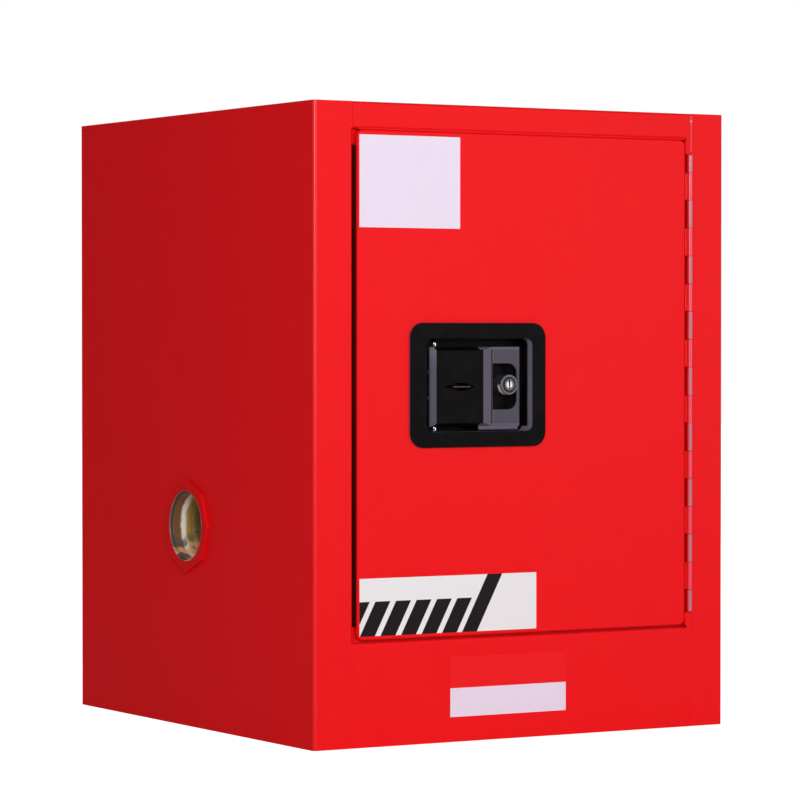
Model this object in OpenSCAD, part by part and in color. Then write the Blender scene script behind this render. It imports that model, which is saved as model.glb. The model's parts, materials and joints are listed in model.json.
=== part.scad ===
// Small double-walled safety cabinet: one hinged door with a recessed paddle latch, a leak-tight sill,
// a lift-out shelf and a vent port with flame screens in each side.
// Frame: +X to the cabinet's right, +Y to its back, +Z up. The origin is under the middle of the body.

/* [Cabinet body] */
// Width over the side panels
body_w = 430; // [400:1:700]
// Depth from the front face to the back panel
body_d = 460; // [400:1:650]
// Height from the floor to the top
body_h = 560; // [500:1:900]
// Thickness of the sheet steel
sheet_t = 1.2; // [1:0.1:1.5]
// Outside radius of a fold in the sheet
bend_r = 2.4; // [2:0.1:3]
// From the outside of a side or back wall to the inside of the storage space
wall_off = 38.6; // [34:0.2:46]
// Height of the base under the outer floor
base_rise = 16; // [10:1:22]
// Width of the rim that the cabinet stands on
base_rim_w = 25; // [18:1:35]

/* [Door opening] */
// Width of the front face beside the hinge
stile_right_w = 35; // [32:0.5:38]
// Height of the front face above the door
header_h = 23; // [18:0.5:26]
// From the top of the cabinet to the soffit behind the header
head_off = 37.6; // [35:0.2:46]
// Height of the front face below the door
sill_h = 91; // [80:1:120]
// Height of the lip behind the door's lower edge
sill_lip_h = 14.4; // [12:0.2:18]
// Depth of the lips behind the front face
rebate_d = 7; // [6.6:0.1:9]
// Depth of the jambs
jamb_d = 40; // [38.5:0.5:48]
// Depth of the spill sump below the sill
sump_d = 50; // [30:1:55]
// Gap of a painted seam between two panels
seam = 0.3; // [0.2:0.05:0.6]

/* [Door] */
// Gap below the door
door_gap = 2.2; // [1.5:0.1:3.5]
// Gap above the door
top_gap = 1.1; // [1:0.1:3]
// Gap on the latch side of the door
latch_gap = 5; // [4.5:0.1:7]
// Thickness of the double-walled door
door_t = 36; // [34.5:0.1:37]
// Radius of the door's corners
door_corner_r = 6; // [4:0.5:12]
// Depth of the folded rim round the door's outer skin
rim_d = 5.5; // [4:0.1:5.8]
// Gap between the door's inner tray and the head or the sill
tray_gap = 2.6; // [2:0.1:4]

/* [Hinge] */
// Length of one knuckle
knuckle_l = 25.4; // [20:0.2:30]
// Number of knuckles on the door's leaf
door_knuckles = 8; // [6:1:8]
// Outside radius of the knuckles
knuckle_r = 2.6; // [2.5:0.1:3]
// Radius of the hinge pin
pin_r = 1.3; // [1:0.05:1.4]
// How far the hinge axis stands in front of the face
hinge_proud = 1.5; // [1.2:0.1:2]
// Gap between the knuckles and the door's edge
hinge_side_gap = 1.2; // [0.8:0.1:1.5]
// Width of a leaf from the axis
leaf_w = 30; // [22:0.5:33]
// Gap between knuckles
knuckle_gap = 0.4; // [0.3:0.1:0.8]

/* [Latch pan] */
// Width of the pan's flange
flange_w = 140; // [138:0.5:150]
// Height of the pan's flange
flange_h = 109.4; // [107:0.2:120]
// Corner radius of the flange
flange_r = 13; // [8:0.5:18]
// Thickness of the flange
flange_t = 2; // [1.5:0.1:3]
// Width of the pocket
pocket_w = 110; // [108:0.5:112]
// Height of the pocket
pocket_h = 82; // [80:0.5:84]
// Corner radius of the pocket
pocket_r = 6; // [3:0.5:9]
// Depth of the pocket's floor behind the door's face
pocket_d = 18; // [17:0.2:18.5]
// Thickness of the pan's sheet
pan_t = 1.5; // [1.2:0.1:1.8]
// From the door's latch edge to the middle of the pan
latch_inset = 122; // [115:0.5:150]
// How far the pocket lies off the flange's middle
pocket_shift = 1.8; // [0:0.1:1.9]

/* [Paddle] */
// Height of the paddle
paddle_h = 70; // [64:0.5:72]
// Thickness of the paddle's sheet
paddle_t = 2; // [1.6:0.1:2.2]
// Radius of the paddle's pivot pin
pivot_r = 2; // [1.5:0.1:2.4]
// Radius of the barrel round the pivot pin
barrel_r = 4; // [3.5:0.1:4.5]
// Depth of the pivot behind the door's face
pivot_d = 8.5; // [8:0.1:9.5]
// From the pocket's left wall to the pivot
pivot_in = 13.5; // [11:0.5:16]
// Distance from the pivot to the crank pin that drives the bolt
crank_l = 20; // [17.5:0.5:21]
// Radius of the crank pin
crank_r = 2; // [1.5:0.1:2.2]

/* [Lock and bolt] */
// Radius of the lock barrel's front
lock_r = 9; // [8.5:0.1:9.4]
// Radius of the turning plug
plug_r = 5.5; // [4.5:0.1:6]
// Length of the locking cam from the plug's axis
cam_l = 24; // [18:0.5:25]
// Height of the bolt bar
bolt_h = 18; // [14:0.5:20]
// Thickness of the bolt bar
bolt_t = 6; // [5:0.1:6.4]
// How far the bolt's nose stands out of the door's edge
nose_out = 3; // [2:0.1:3.2]
// Thickness of the padlock staple
staple_t = 2; // [1.6:0.1:2.2]
// Radius of the hole for a small padlock or a wire seal
shackle_r = 1.8; // [1.2:0.1:1.9]

/* [Vent ports] */
// Height of the left port's axis
vent_left_z = 183.5; // [150:0.5:200]
// Height of the right port's axis
vent_right_z = 376.5; // [365:0.5:430]
// From the front face to the port's axis
vent_back = 235; // [200:1:260]
// Outside radius of the port's collar
collar_r = 32.3; // [28:0.1:36]
// Wall of the collar
collar_t = 2.5; // [2:0.1:4]
// Radius of the eight-sided flange, over its corners
vent_flange_r = 43; // [41:0.2:48]
// Thickness of the eight-sided flange
vent_flange_t = 3.5; // [2:0.1:5]
// Depth of the outer flame screen behind the flange's face
screen_d = 20; // [14:0.5:24]
// Thickness of a flame screen
screen_t = 1; // [0.6:0.1:1.5]

/* [Shelf] */
// Height of the shelf's underside
shelf_z = 285; // [260:1:300]
// Depth of the shelf's rim
shelf_rim = 26; // [18:1:32]
// Gap between the shelf and the uprights
shelf_side_gap = 6; // [5:0.5:8]
// Gap in front of the shelf and behind it
shelf_end_gap = 16.7; // [14:0.1:20]
// Distance between slots in the uprights
slot_pitch = 25; // [20:1:40]
// Width of a shelf upright
upright_w = 20; // [16:1:28]
// Thickness of a shelf upright
upright_t = 2; // [1.5:0.1:3]
// How far a shelf clip stands out of its upright
clip_out = 14; // [11:0.5:18]

/* [Decals and ground stud] */
// Thickness of a vinyl decal
decal_t = 0.2; // [0.1:0.05:0.4]
// Radius of the ground stud
stud_r = 3; // [2.5:0.1:4]
// From the back panel to the ground stud
stud_from_back = 50; // [40:1:80]
// Height of the ground stud
stud_z = 70; // [60:1:90]

/* [Hidden] */
$fn = 48;

RED = [0.80, 0.05, 0.06];
BLACK = [0.06, 0.06, 0.07];
ZINC = [0.72, 0.74, 0.76];
CHROME = [0.85, 0.85, 0.87];
BRASS = [0.72, 0.56, 0.28];
VINYL = [0.93, 0.92, 0.95];

// Faces of the body
left_x = -body_w / 2;
right_x = body_w / 2;
front_y = -body_d / 2;
back_y = body_d / 2;

// The opening in the front and the storage space behind it
jamb_left_x = left_x + wall_off;
jamb_right_x = right_x - stile_right_w;
store_left_x = left_x + wall_off;
store_right_x = right_x - wall_off;
store_front_y = front_y + jamb_d;
store_back_y = back_y - wall_off;
head_z = body_h - head_off;
header_z = body_h - header_h;
sill_top_z = sill_h + sill_lip_h;
floor_z = sill_top_z - sump_d;

// The door
hinge_x = jamb_right_x - knuckle_r;
hinge_y = front_y - hinge_proud;
door_left_x = jamb_left_x + latch_gap;
door_right_x = hinge_x - knuckle_r - hinge_side_gap;
door_low_z = sill_h + door_gap;
door_high_z = header_z - top_gap;
tray_low_z = sill_top_z + tray_gap;
tray_high_z = head_z - tray_gap;
rim_gap = 0.2;

// The hinge
hinge_end_gap = 0.3;
hinge_low_z = sill_top_z + hinge_end_gap;
hinge_high_z = head_z - hinge_end_gap;
knuckle_count = 2 * door_knuckles + 1;
end_knuckle_l = (hinge_high_z - hinge_low_z - (knuckle_count - 2) * knuckle_l) / 2;
end_knuckle_shift = 2;
bore_play = 0.05;

// The latch
latch_x = door_left_x + latch_inset;
door_mid_z = (door_low_z + door_high_z) / 2;
latch_drop = 0.55;
latch_z = door_mid_z - latch_drop;
paddle_drop = 1.5;
paddle_z = latch_z - paddle_drop;
pocket_x = latch_x + pocket_shift;
pocket_left_x = pocket_x - pocket_w / 2;
pan_back_d = pocket_d + pan_t;
skin_cut_play = 0.5;
pivot_x = pocket_left_x + pivot_in;
lock_from_wall = 88.2;
window_from_wall = 85.4;
lock_x = pocket_left_x + lock_from_wall;
paddle_pull_deg = 38;
bolt_stroke = crank_l * sin(paddle_pull_deg);
crank_d = pivot_d + crank_l;
bolt_mid_d = crank_d - 2;
stud_m = 2.5;
stud_inset = 6.5;
stud_play = 0.25;
stud_dx = flange_w / 2 - stud_inset;
stud_dz = flange_h / 2 - stud_inset;

// A length of sheet steel folded at right angles, drawn in the plane of its cross-section.
// path lists the corners on one face, and side is 1 where the sheet lies to the left of the path, else -1.
module folded(path, side, t = sheet_t, r = bend_r) {
    last = len(path) - 1;
    line = side > 0 ? path : [for (i = [last:-1:0]) path[i]];
    leg = [for (i = [0:last - 1]) (line[i + 1] - line[i]) / norm(line[i + 1] - line[i])];
    turn = [for (i = [1:last - 1]) leg[i - 1].x * leg[i].y - leg[i - 1].y * leg[i].x];
    fold_r = [for (c = turn) c > 0 ? r : r - t];
    for (i = [0:last - 1]) {
        start = line[i] + (i > 0 ? fold_r[i - 1] : 0) * leg[i];
        end = line[i + 1] - (i < last - 1 ? fold_r[i] : 0) * leg[i];
        across = t * [-leg[i].y, leg[i].x];
        polygon([start, end, end + across, start + across]);
    }
    for (i = [1:last - 1]) {
        centre = line[i] + fold_r[i - 1] * (leg[i] - leg[i - 1]);
        intersection() {
            translate(centre) difference() {
                circle(r);
                circle(r - t);
            }
            translate(centre) polygon(r * [[0, 0], leg[i - 1], leg[i - 1] - leg[i], -leg[i]]);
        }
    }
}

// A cross-section in X and Y, standing from z0 to z1
module upright(z0, z1) {
    translate([0, 0, z0]) linear_extrude(z1 - z0) children();
}

// A cross-section in Y and Z, running from x0 to x1
module crosswise(x0, x1) {
    translate([x0, 0, 0]) rotate([90, 0, 90]) linear_extrude(x1 - x0) children();
}

// An outline in X and Z, from depth d0 to depth d1 behind the door's face
module slab(d0, d1) {
    translate([0, front_y + d1, 0]) rotate([90, 0, 0]) linear_extrude(d1 - d0) children();
}

// The two ends of a length, from its middle and half its size
function span(mid, half) = [mid - half, mid + half];

// A box between two corners
module block(low, high) {
    translate(low) cube(high - low);
}

// A box between two X values, two depths and two heights
module depth_block(x, d, z) {
    block([x[0], front_y + d[0], z[0]], [x[1], front_y + d[1], z[1]]);
}

// A rectangle with round corners, about the origin
module round_rect(w, h, r) {
    square([w - 2 * r, h], center = true);
    square([w, h - 2 * r], center = true);
    for (x = [-1, 1], y = [-1, 1])
        translate([x * (w / 2 - r), y * (h / 2 - r)]) circle(r);
}

// A round bar along X, from x0 to x1
module bar_x(x0, x1, y, z, r, sides = $fn) {
    translate([x0, y, z]) rotate([0, 90, 0]) cylinder(h = x1 - x0, r = r, $fn = sides);
}

// A round bar along Z, from z0 to z1
module bar_z(z0, z1, x, y, r) {
    translate([x, y, z0]) cylinder(h = z1 - z0, r = r);
}

// A round bar along Y, between two depths
module bar_d(d0, d1, x, z, r, sides = $fn) {
    translate([x, front_y + d1, z]) rotate([90, 0, 0]) cylinder(h = d1 - d0, r = r, $fn = sides);
}

// ---- The double-walled body ----

vent_y = front_y + vent_back;
vent_hole_play = 0.3;
jamb_notch_gap = 0.2;

// The wall, the stile and the jamb of one side, as one folded sheet
module side_sheet(outer_x, jamb_x, inward) {
    stile_end_x = jamb_x - inward * bend_r;
    upright(0, body_h)
        folded([[outer_x, back_y], [outer_x, front_y], [stile_end_x, front_y]], inward);
    for (z = [[0, sill_h], [header_z, body_h]])
        upright(z[0], z[1]) folded([[stile_end_x, front_y], [jamb_x, front_y]], inward);
    upright(sill_h + jamb_notch_gap, header_z - jamb_notch_gap)
        folded([[stile_end_x - inward, front_y], [jamb_x, front_y], [jamb_x, store_front_y]], inward);
}

module strike_hole() {
    hole_play = 2;
    depth_block([jamb_left_x - wall_off / 2, jamb_left_x + 1],
                span(bolt_mid_d, bolt_t / 2 + hole_play), span(latch_z, bolt_h / 2 + hole_play));
}

strike_screw_dz = 22;
strike_plate_t = 2;
strike_screw_r = 2;

module left_side_panel() {
    color(RED) difference() {
        side_sheet(left_x, jamb_left_x, 1);
        bar_x(left_x - 1, left_x + wall_off / 2, vent_y, vent_left_z, collar_r + vent_hole_play);
        strike_hole();
        for (s = [-1, 1])
            bar_x(jamb_left_x - wall_off / 2, jamb_left_x + 1,
                  front_y + bolt_mid_d, latch_z + s * strike_screw_dz, strike_screw_r + bore_play);
    }
}

stud_y = back_y - stud_from_back;

module right_side_panel() {
    color(RED) difference() {
        side_sheet(right_x, jamb_right_x, -1);
        bar_x(right_x - wall_off / 2, right_x + 1, vent_y, vent_right_z, collar_r + vent_hole_play);
        bar_x(right_x - wall_off / 2, right_x + 1, stud_y, stud_z, stud_shank_r + bore_play);
    }
}

hinge_flap_gap = 0.6;
door_swing_gap = 1.6;

// A flap in the face that closes the gap beside the door, above or below the hinge
module hinge_flap(z) {
    depth_block([door_right_x + door_swing_gap, jamb_right_x - seam], [0, sheet_t], z);
}

// The top, with the header folded down between the stiles
module top_panel() {
    color(RED) {
        hinge_flap([hinge_high_z + hinge_flap_gap, header_z + 2 * bend_r]);
        block([left_x + sheet_t, front_y + bend_r, body_h - sheet_t], [right_x - sheet_t, back_y, body_h]);
        for (x = [[left_x + bend_r, jamb_left_x], [jamb_right_x, right_x - bend_r]])
            block([x[0], front_y + sheet_t, body_h - sheet_t], [x[1], front_y + 2 * bend_r, body_h]);
        crosswise(jamb_left_x + seam, jamb_right_x - seam)
            folded([[front_y + 2 * bend_r, body_h], [front_y, body_h], [front_y, header_z],
                    [front_y + rebate_d, header_z]], 1);
    }
}

back_flange_w = 20;

module back_panel() {
    color(RED) upright(sheet_t, body_h - sheet_t)
        folded([[left_x + sheet_t, back_y - back_flange_w], [left_x + sheet_t, back_y],
                [right_x - sheet_t, back_y], [right_x - sheet_t, back_y - back_flange_w]], -1);
}

// The outer floor: a dished sheet whose rim stands on the ground
module bottom_panel() {
    low = [left_x + sheet_t, front_y + sheet_t, 0];
    high = [right_x - sheet_t, back_y, base_rise + sheet_t];
    rim = [base_rim_w, base_rim_w, 0];
    wall = [sheet_t, sheet_t, 0];
    color(RED) difference() {
        union() {
            block(low, [high.x, high.y, sheet_t]);
            block(low + rim, high - rim);
        }
        block(low + rim + wall - [0, 0, 1], high - rim - wall - [0, 0, sheet_t]);
    }
}

// The front face below the door
module front_sill() {
    color(RED) {
        hinge_flap([sill_h - 2 * bend_r, hinge_low_z - hinge_flap_gap]);
        crosswise(jamb_left_x + seam, jamb_right_x - seam)
            folded([[front_y, 0], [front_y, sill_h], [front_y + rebate_d, sill_h]], -1);
    }
}

// The lip and the soffit over the door
module head_rail() {
    color(RED) crosswise(jamb_left_x, jamb_right_x)
        folded([[front_y + rebate_d, body_h - sheet_t], [front_y + rebate_d, head_z],
                [store_front_y, head_z]], 1);
}

sill_rail_skirt = 40;
sill_rail_back_l = 20;

// The lip and the top of the leak-tight sill
module sill_rail() {
    color(RED) crosswise(jamb_left_x, jamb_right_x)
        folded([[front_y + rebate_d, sill_h - sill_rail_skirt], [front_y + rebate_d, sill_top_z],
                [store_front_y, sill_top_z], [store_front_y, sill_top_z - sill_rail_back_l]], -1);
}

module sump_pan() {
    low = [store_left_x, store_front_y, floor_z - sheet_t];
    high = [store_right_x, store_back_y, sill_top_z - bend_r];
    wall = [sheet_t, sheet_t, 0];
    color(RED) difference() {
        block(low, high);
        block(low + wall + [0, 0, sheet_t], high - wall + [0, 0, 1]);
    }
}

liner_low_z = floor_z - sheet_t;

module vent_liner_hole(x, z) {
    bar_x(x - 3 * sheet_t, x + 3 * sheet_t, vent_y, z, collar_r + vent_hole_play);
}

module liner_left() {
    color(RED) difference() {
        block([store_left_x - sheet_t, store_front_y, liner_low_z], [store_left_x, store_back_y, head_z]);
        vent_liner_hole(store_left_x, vent_left_z);
    }
}

// The right liner turns out to meet the jamb, which stands wider than the storage space
module liner_right() {
    color(RED) difference() {
        upright(liner_low_z, head_z)
            folded([[store_right_x, store_back_y], [store_right_x, store_front_y],
                    [max(jamb_right_x, store_right_x + bend_r) + sheet_t, store_front_y]], 1);
        vent_liner_hole(store_right_x, vent_right_z);
    }
}

module liner_top() {
    color(RED) block([store_left_x - sheet_t, store_front_y, head_z],
                     [store_right_x + sheet_t, store_back_y, head_z + sheet_t]);
}

module liner_back() {
    color(RED) block([store_left_x - sheet_t, store_back_y, liner_low_z],
                     [store_right_x + sheet_t, store_back_y + sheet_t, head_z + sheet_t]);
}

support_w = 40;
support_share = 0.25;
support_inset = 30;

// Two channels that carry the sump on the outer floor
module floor_supports() {
    low_z = base_rise + sheet_t;
    high_z = floor_z - sheet_t;
    color(ZINC) for (s = [-1, 1]) translate([s * body_w * support_share, 0, 0])
        rotate([90, 0, 0]) translate([0, 0, -(body_d / 2 - wall_off - support_inset)])
            linear_extrude(body_d - 2 * wall_off - 2 * support_inset)
                folded([[-support_w / 2, low_z], [-support_w / 2, high_z],
                        [support_w / 2, high_z], [support_w / 2, low_z]], -1);
}

spacer_w = 30;
spacer_end_gap = 90;

// Two channels between the back panel and the back of the liner
module back_spacers() {
    near_y = store_back_y + sheet_t;
    far_y = back_y - sheet_t;
    color(ZINC) for (s = [-1, 1]) translate([s * body_w * support_share, 0, 0])
        upright(spacer_end_gap, body_h - spacer_end_gap)
            folded([[-spacer_w / 2, far_y], [-spacer_w / 2, near_y],
                    [spacer_w / 2, near_y], [spacer_w / 2, far_y]], 1);
}

// ---- Strike ----

strike_plate_w = 20;
strike_plate_h = 62;

module strike_plate() {
    x1 = jamb_left_x - sheet_t;
    color(ZINC) difference() {
        depth_block([x1 - strike_plate_t, x1],
                    span(bolt_mid_d, strike_plate_w / 2), span(latch_z, strike_plate_h / 2));
        strike_hole();
        for (s = [-1, 1])
            bar_x(x1 - strike_plate_t - 1, x1 + 1,
                  front_y + bolt_mid_d, latch_z + s * strike_screw_dz, strike_screw_r + bore_play);
    }
}

module strike_screws() {
    head_r = 3.6;
    head_l = 1;
    shank_l = 6;
    color(ZINC) for (s = [-1, 1]) {
        z = latch_z + s * strike_screw_dz;
        bar_x(jamb_left_x, jamb_left_x + head_l, front_y + bolt_mid_d, z, head_r);
        bar_x(jamb_left_x - shank_l, jamb_left_x, front_y + bolt_mid_d, z, strike_screw_r);
    }
}

// ---- Continuous hinge ----

// Lowest point of knuckle i, counted from the bottom
function knuckle_z(i) = i == 0 ? hinge_low_z
    : i >= knuckle_count ? hinge_high_z
    : hinge_low_z + end_knuckle_l + end_knuckle_shift + (i - 1) * knuckle_l;

leaf_notch_play = 0.8;

// A leaf whose knuckles are those numbered from first in steps of two.
// facing is 1 on the jamb and -1 on the door.
module hinge_leaf(first, facing) {
    outer_x = facing > 0 ? jamb_right_x : door_right_x;
    inner_x = outer_x - facing * sheet_t;
    web_x = hinge_x + facing * (knuckle_r - sheet_t);
    leaf_x = [min(outer_x, inner_x), max(outer_x, inner_x)];
    clear_y = hinge_y + knuckle_r + leaf_notch_play;
    difference() {
        union() {
            block([leaf_x[0], clear_y, hinge_low_z], [leaf_x[1], hinge_y + leaf_w, hinge_high_z]);
            for (i = [first:2:knuckle_count - 1]) {
                z0 = knuckle_z(i) + (i == 0 ? 0 : knuckle_gap / 2);
                z1 = knuckle_z(i + 1) - (i == knuckle_count - 1 ? 0 : knuckle_gap / 2);
                block([min(outer_x, web_x), front_y, z0], [max(outer_x, web_x), clear_y + 1, z1]);
                bar_z(z0, z1, hinge_x, hinge_y, knuckle_r);
            }
        }
        bar_z(hinge_low_z - 1, hinge_high_z + 1, hinge_x, hinge_y, pin_r + bore_play);
    }
}

module hinge_frame_leaf() {
    color(RED) hinge_leaf(0, 1);
}

module hinge_door_leaf() {
    color(RED) hinge_leaf(1, -1);
}

module hinge_pin() {
    color(ZINC) bar_z(hinge_low_z, hinge_high_z, hinge_x, hinge_y, pin_r);
}

// ---- Vent ports ----

locknut_t = 6;
locknut_r = 40;
collar_in = 6;
screen_shoulder = 1.2;
screen_play = 0.05;
collar_into_flange = 0.5;

flange_face_x = right_x + vent_flange_t;
mouth_x = right_x + collar_into_flange;
collar_end_x = store_right_x - collar_in;
screen_bore_r = collar_r - collar_t - screen_shoulder;

// A round bar on a port's axis, between two distances from the cabinet's middle.
// side is -1 on the left and 1 on the right.
module port_bar(side, near_x, far_x, z, r, sides = $fn) {
    translate([side * near_x, vent_y, z]) rotate([0, side * 90, 0])
        cylinder(h = far_x - near_x, r = r, $fn = sides);
}

module vent_flange(side, z) {
    color(RED) difference() {
        port_bar(side, right_x, flange_face_x, z, vent_flange_r, 8);
        port_bar(side, right_x - 1, flange_face_x + 1, z, collar_r);
    }
}

// The collar takes a duct or a plug as far as its shoulder, and holds the screens behind it
module vent_collar(side, z) {
    color(ZINC) difference() {
        port_bar(side, collar_end_x, mouth_x, z, collar_r);
        port_bar(side, collar_end_x - 1, mouth_x + 1, z, screen_bore_r);
        port_bar(side, mouth_x - screen_d, mouth_x + 1, z, collar_r - collar_t);
    }
}

// Two screens, one near each end of the collar
module flame_screens(side, z) {
    color(BRASS) for (x = [mouth_x - screen_d - 2 * screen_t, collar_end_x + screen_t])
        port_bar(side, x, x + screen_t, z, screen_bore_r - screen_play);
}

module vent_locknut(side, z) {
    color(ZINC) difference() {
        port_bar(side, store_right_x - locknut_t, store_right_x, z, locknut_r, 6);
        port_bar(side, collar_end_x - 1, store_right_x + 1, z, collar_r);
    }
}

// ---- Ground stud ----

stud_out = 7.5;
stud_collar_t = 3;
stud_shank_r = stud_r - 0.5;
stud_nut_l = 4;
stud_washer_t = 1;
stud_shank_l = sheet_t + stud_washer_t + stud_nut_l + 1.5;

// A bonding wire's ring goes on the free end, against the six-sided collar
module ground_stud() {
    color(BRASS) {
        bar_x(right_x - stud_shank_l, right_x, stud_y, stud_z, stud_shank_r);
        bar_x(right_x, right_x + stud_collar_t, stud_y, stud_z, 2 * stud_r, 6);
        bar_x(right_x, right_x + stud_out, stud_y, stud_z, stud_r);
    }
}

// The washer and the nut that hold the stud, inside the wall
module ground_nut() {
    washer_x = right_x - sheet_t - stud_washer_t;
    color(BRASS) difference() {
        union() {
            bar_x(washer_x, washer_x + stud_washer_t, stud_y, stud_z, 2.4 * stud_r);
            bar_x(washer_x - stud_nut_l, washer_x, stud_y, stud_z, 1.8 * stud_r, 6);
        }
        bar_x(right_x - 2 * stud_shank_l, right_x, stud_y, stud_z, stud_shank_r + bore_play);
    }
}

// ---- Shelf ----

upright_top_gap = 30;
upright_sill_gap = 5;
upright_from_end = 42;
slot_w = 3;
slot_h = 12;
clip_t = 2;
clip_h = 22;
clip_tab_l = 3;

upright_low_z = sill_top_z + upright_sill_gap;
upright_high_z = head_z - upright_top_gap;
upright_ys = [store_front_y + upright_from_end, store_back_y - upright_from_end];
slot_low_z = shelf_z - clip_t - slot_pitch * floor((shelf_z - clip_t - upright_low_z - slot_h) / slot_pitch);

// Four slotted strips welded to the liners
module shelf_uprights() {
    color(ZINC) for (side = [-1, 1], y = upright_ys) difference() {
        wall_x = side * store_right_x;
        face_x = wall_x - side * upright_t;
        block([min(wall_x, face_x), y - upright_w / 2, upright_low_z],
              [max(wall_x, face_x), y + upright_w / 2, upright_high_z]);
        for (z = [slot_low_z:slot_pitch:upright_high_z - slot_h])
            block([min(wall_x, face_x) - 1, y - slot_w / 2, z - slot_h],
                  [max(wall_x, face_x) + 1, y + slot_w / 2, z]);
    }
}

clip_w = upright_w - 4;

// Four angle clips that hook into the uprights and carry the shelf
module shelf_clips() {
    tab_play = 0.3;
    color(ZINC) for (side = [-1, 1], y = upright_ys) {
        face_x = side * (store_right_x - upright_t);
        lip_x = face_x - side * clip_t;
        end_x = face_x - side * clip_out;
        tab_x = face_x + side * (upright_t - tab_play);
        block([min(face_x, end_x), y - clip_w / 2, shelf_z - clip_t],
              [max(face_x, end_x), y + clip_w / 2, shelf_z]);
        block([min(face_x, lip_x), y - clip_w / 2, shelf_z - clip_h],
              [max(face_x, lip_x), y + clip_w / 2, shelf_z - clip_t]);
        block([min(face_x, tab_x), y - slot_w / 2 + tab_play, shelf_z - clip_t - slot_h + tab_play],
              [max(face_x, tab_x), y + slot_w / 2 - tab_play, shelf_z - clip_t - tab_play]);
    }
}

// The shelf is a shallow tray that holds a small spill
module shelf_tray() {
    x1 = store_right_x - upright_t - shelf_side_gap;
    low = [-x1, store_front_y + shelf_end_gap, shelf_z];
    high = [x1, store_back_y - shelf_end_gap, shelf_z + shelf_rim];
    wall = [sheet_t, sheet_t, 0];
    hem = 6;
    color(ZINC) difference() {
        block(low, high);
        block(low + wall + [0, 0, sheet_t], high - wall - [0, 0, sheet_t]);
        block(low + [hem, hem, sheet_t], high - [hem, hem, -1]);
    }
}

// ---- Door ----

door_w = door_right_x - door_left_x;
door_h = door_high_z - door_low_z;
door_mid_x = (door_left_x + door_right_x) / 2;
skin_fold_r = 1.8;

skin_lap = 0.2;

// The skin's fold and rim in cross-section: X runs outwards from the flat, Y runs back from the face
module skin_edge() {
    translate([-skin_lap, sheet_t / 4]) square([2 * skin_lap, sheet_t / 2]);
    intersection() {
        translate([0, skin_fold_r]) difference() {
            circle(skin_fold_r);
            circle(skin_fold_r - sheet_t);
        }
        square(skin_fold_r);
    }
    translate([skin_fold_r - sheet_t, skin_fold_r]) square([sheet_t, rim_d - skin_fold_r]);
}

// The fold and rim round the upper right corner
module skin_corner() {
    rotate([-90, 0, 0]) rotate([0, 0, -90]) rotate_extrude(angle = 90)
        translate([door_corner_r - skin_fold_r, 0]) skin_edge();
}

// The door's outer skin: a flat face, four folded edges and four round corners
module skin_sheet() {
    translate([door_mid_x, 0, door_mid_z]) {
        slab(0, sheet_t)
            round_rect(door_w - 2 * skin_fold_r, door_h - 2 * skin_fold_r, door_corner_r - skin_fold_r);
        for (s = [0, 1]) {
            mirror([s, 0, 0]) translate([door_w / 2 - skin_fold_r, front_y, 0])
                linear_extrude(door_h - 2 * door_corner_r, center = true) skin_edge();
            mirror([0, 0, s]) translate([0, front_y, door_h / 2 - skin_fold_r]) rotate([0, -90, 0])
                linear_extrude(door_w - 2 * door_corner_r, center = true) skin_edge();
        }
        for (x = [0, 1], z = [0, 1])
            mirror([x, 0, 0]) mirror([0, 0, z])
                translate([door_w / 2 - door_corner_r, front_y, door_h / 2 - door_corner_r]) skin_corner();
    }
}

module latch_hole() {
    translate([pocket_x, 0, latch_z]) slab(-1, pocket_d)
        round_rect(pocket_w + 2 * pan_t + 2 * skin_cut_play,
                   pocket_h + 2 * pan_t + 2 * skin_cut_play, pocket_r + pan_t);
}

module door_skin() {
    color(RED) difference() {
        skin_sheet();
        latch_hole();
        for (x = [-1, 1], z = [-1, 1])
            bar_d(-1, rim_d, latch_x + x * stud_dx, latch_z + z * stud_dz, stud_m + stud_play);
    }
}

cover_w = 134;
cover_h = 104;
cover_lap = 11;
cover_screw_r = 2;
screw_inset = 5.5;

module bolt_slot(d0, d1) {
    slot_play = 0.6;
    depth_block([door_left_x - 1, door_left_x + 4], [d0 - slot_play, d1 + slot_play],
                span(latch_z, bolt_h / 2 + slot_play));
}

module cover_screw_places() {
    for (x = [-1, 1], z = [-1, 1])
        translate([latch_x + x * (cover_w / 2 - screw_inset), 0, latch_z + z * (cover_h / 2 - screw_inset)])
            children();
}

// The inner tray of the door. Its side walls stop behind the skin's rim, and its ends reach the skin.
module door_liner() {
    rim_back_d = rim_d + rim_gap;
    color(RED) difference() {
        union() {
            upright(tray_low_z, tray_high_z)
                folded([[door_left_x, front_y + rim_back_d], [door_left_x, front_y + door_t],
                        [door_right_x, front_y + door_t], [door_right_x, front_y + rim_back_d]], -1);
            for (z = [tray_low_z, tray_high_z - sheet_t]) {
                depth_block([door_left_x + sheet_t, door_right_x - sheet_t],
                            [sheet_t, door_t - bend_r], [z, z + sheet_t]);
                depth_block([door_left_x + bend_r, door_right_x - bend_r],
                            [rim_back_d, door_t], [z, z + sheet_t]);
            }
        }
        bolt_slot(bolt_mid_d - bolt_t / 2, bolt_mid_d + bolt_t / 2);
        depth_block(span(latch_x, cover_w / 2 - cover_lap), [door_t - 3, door_t + 1],
                    span(latch_z, cover_h / 2 - cover_lap));
        cover_screw_places() bar_d(door_t - 3, door_t + 1, 0, 0, cover_screw_r + bore_play);
    }
}

// The plate over the latch on the inside of the door
module latch_cover() {
    color(RED) difference() {
        translate([latch_x, 0, latch_z]) slab(door_t, door_t + sheet_t) round_rect(cover_w, cover_h, 4);
        cover_screw_places() bar_d(door_t - 1, door_t + 3, 0, 0, cover_screw_r + bore_play);
    }
}

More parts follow.
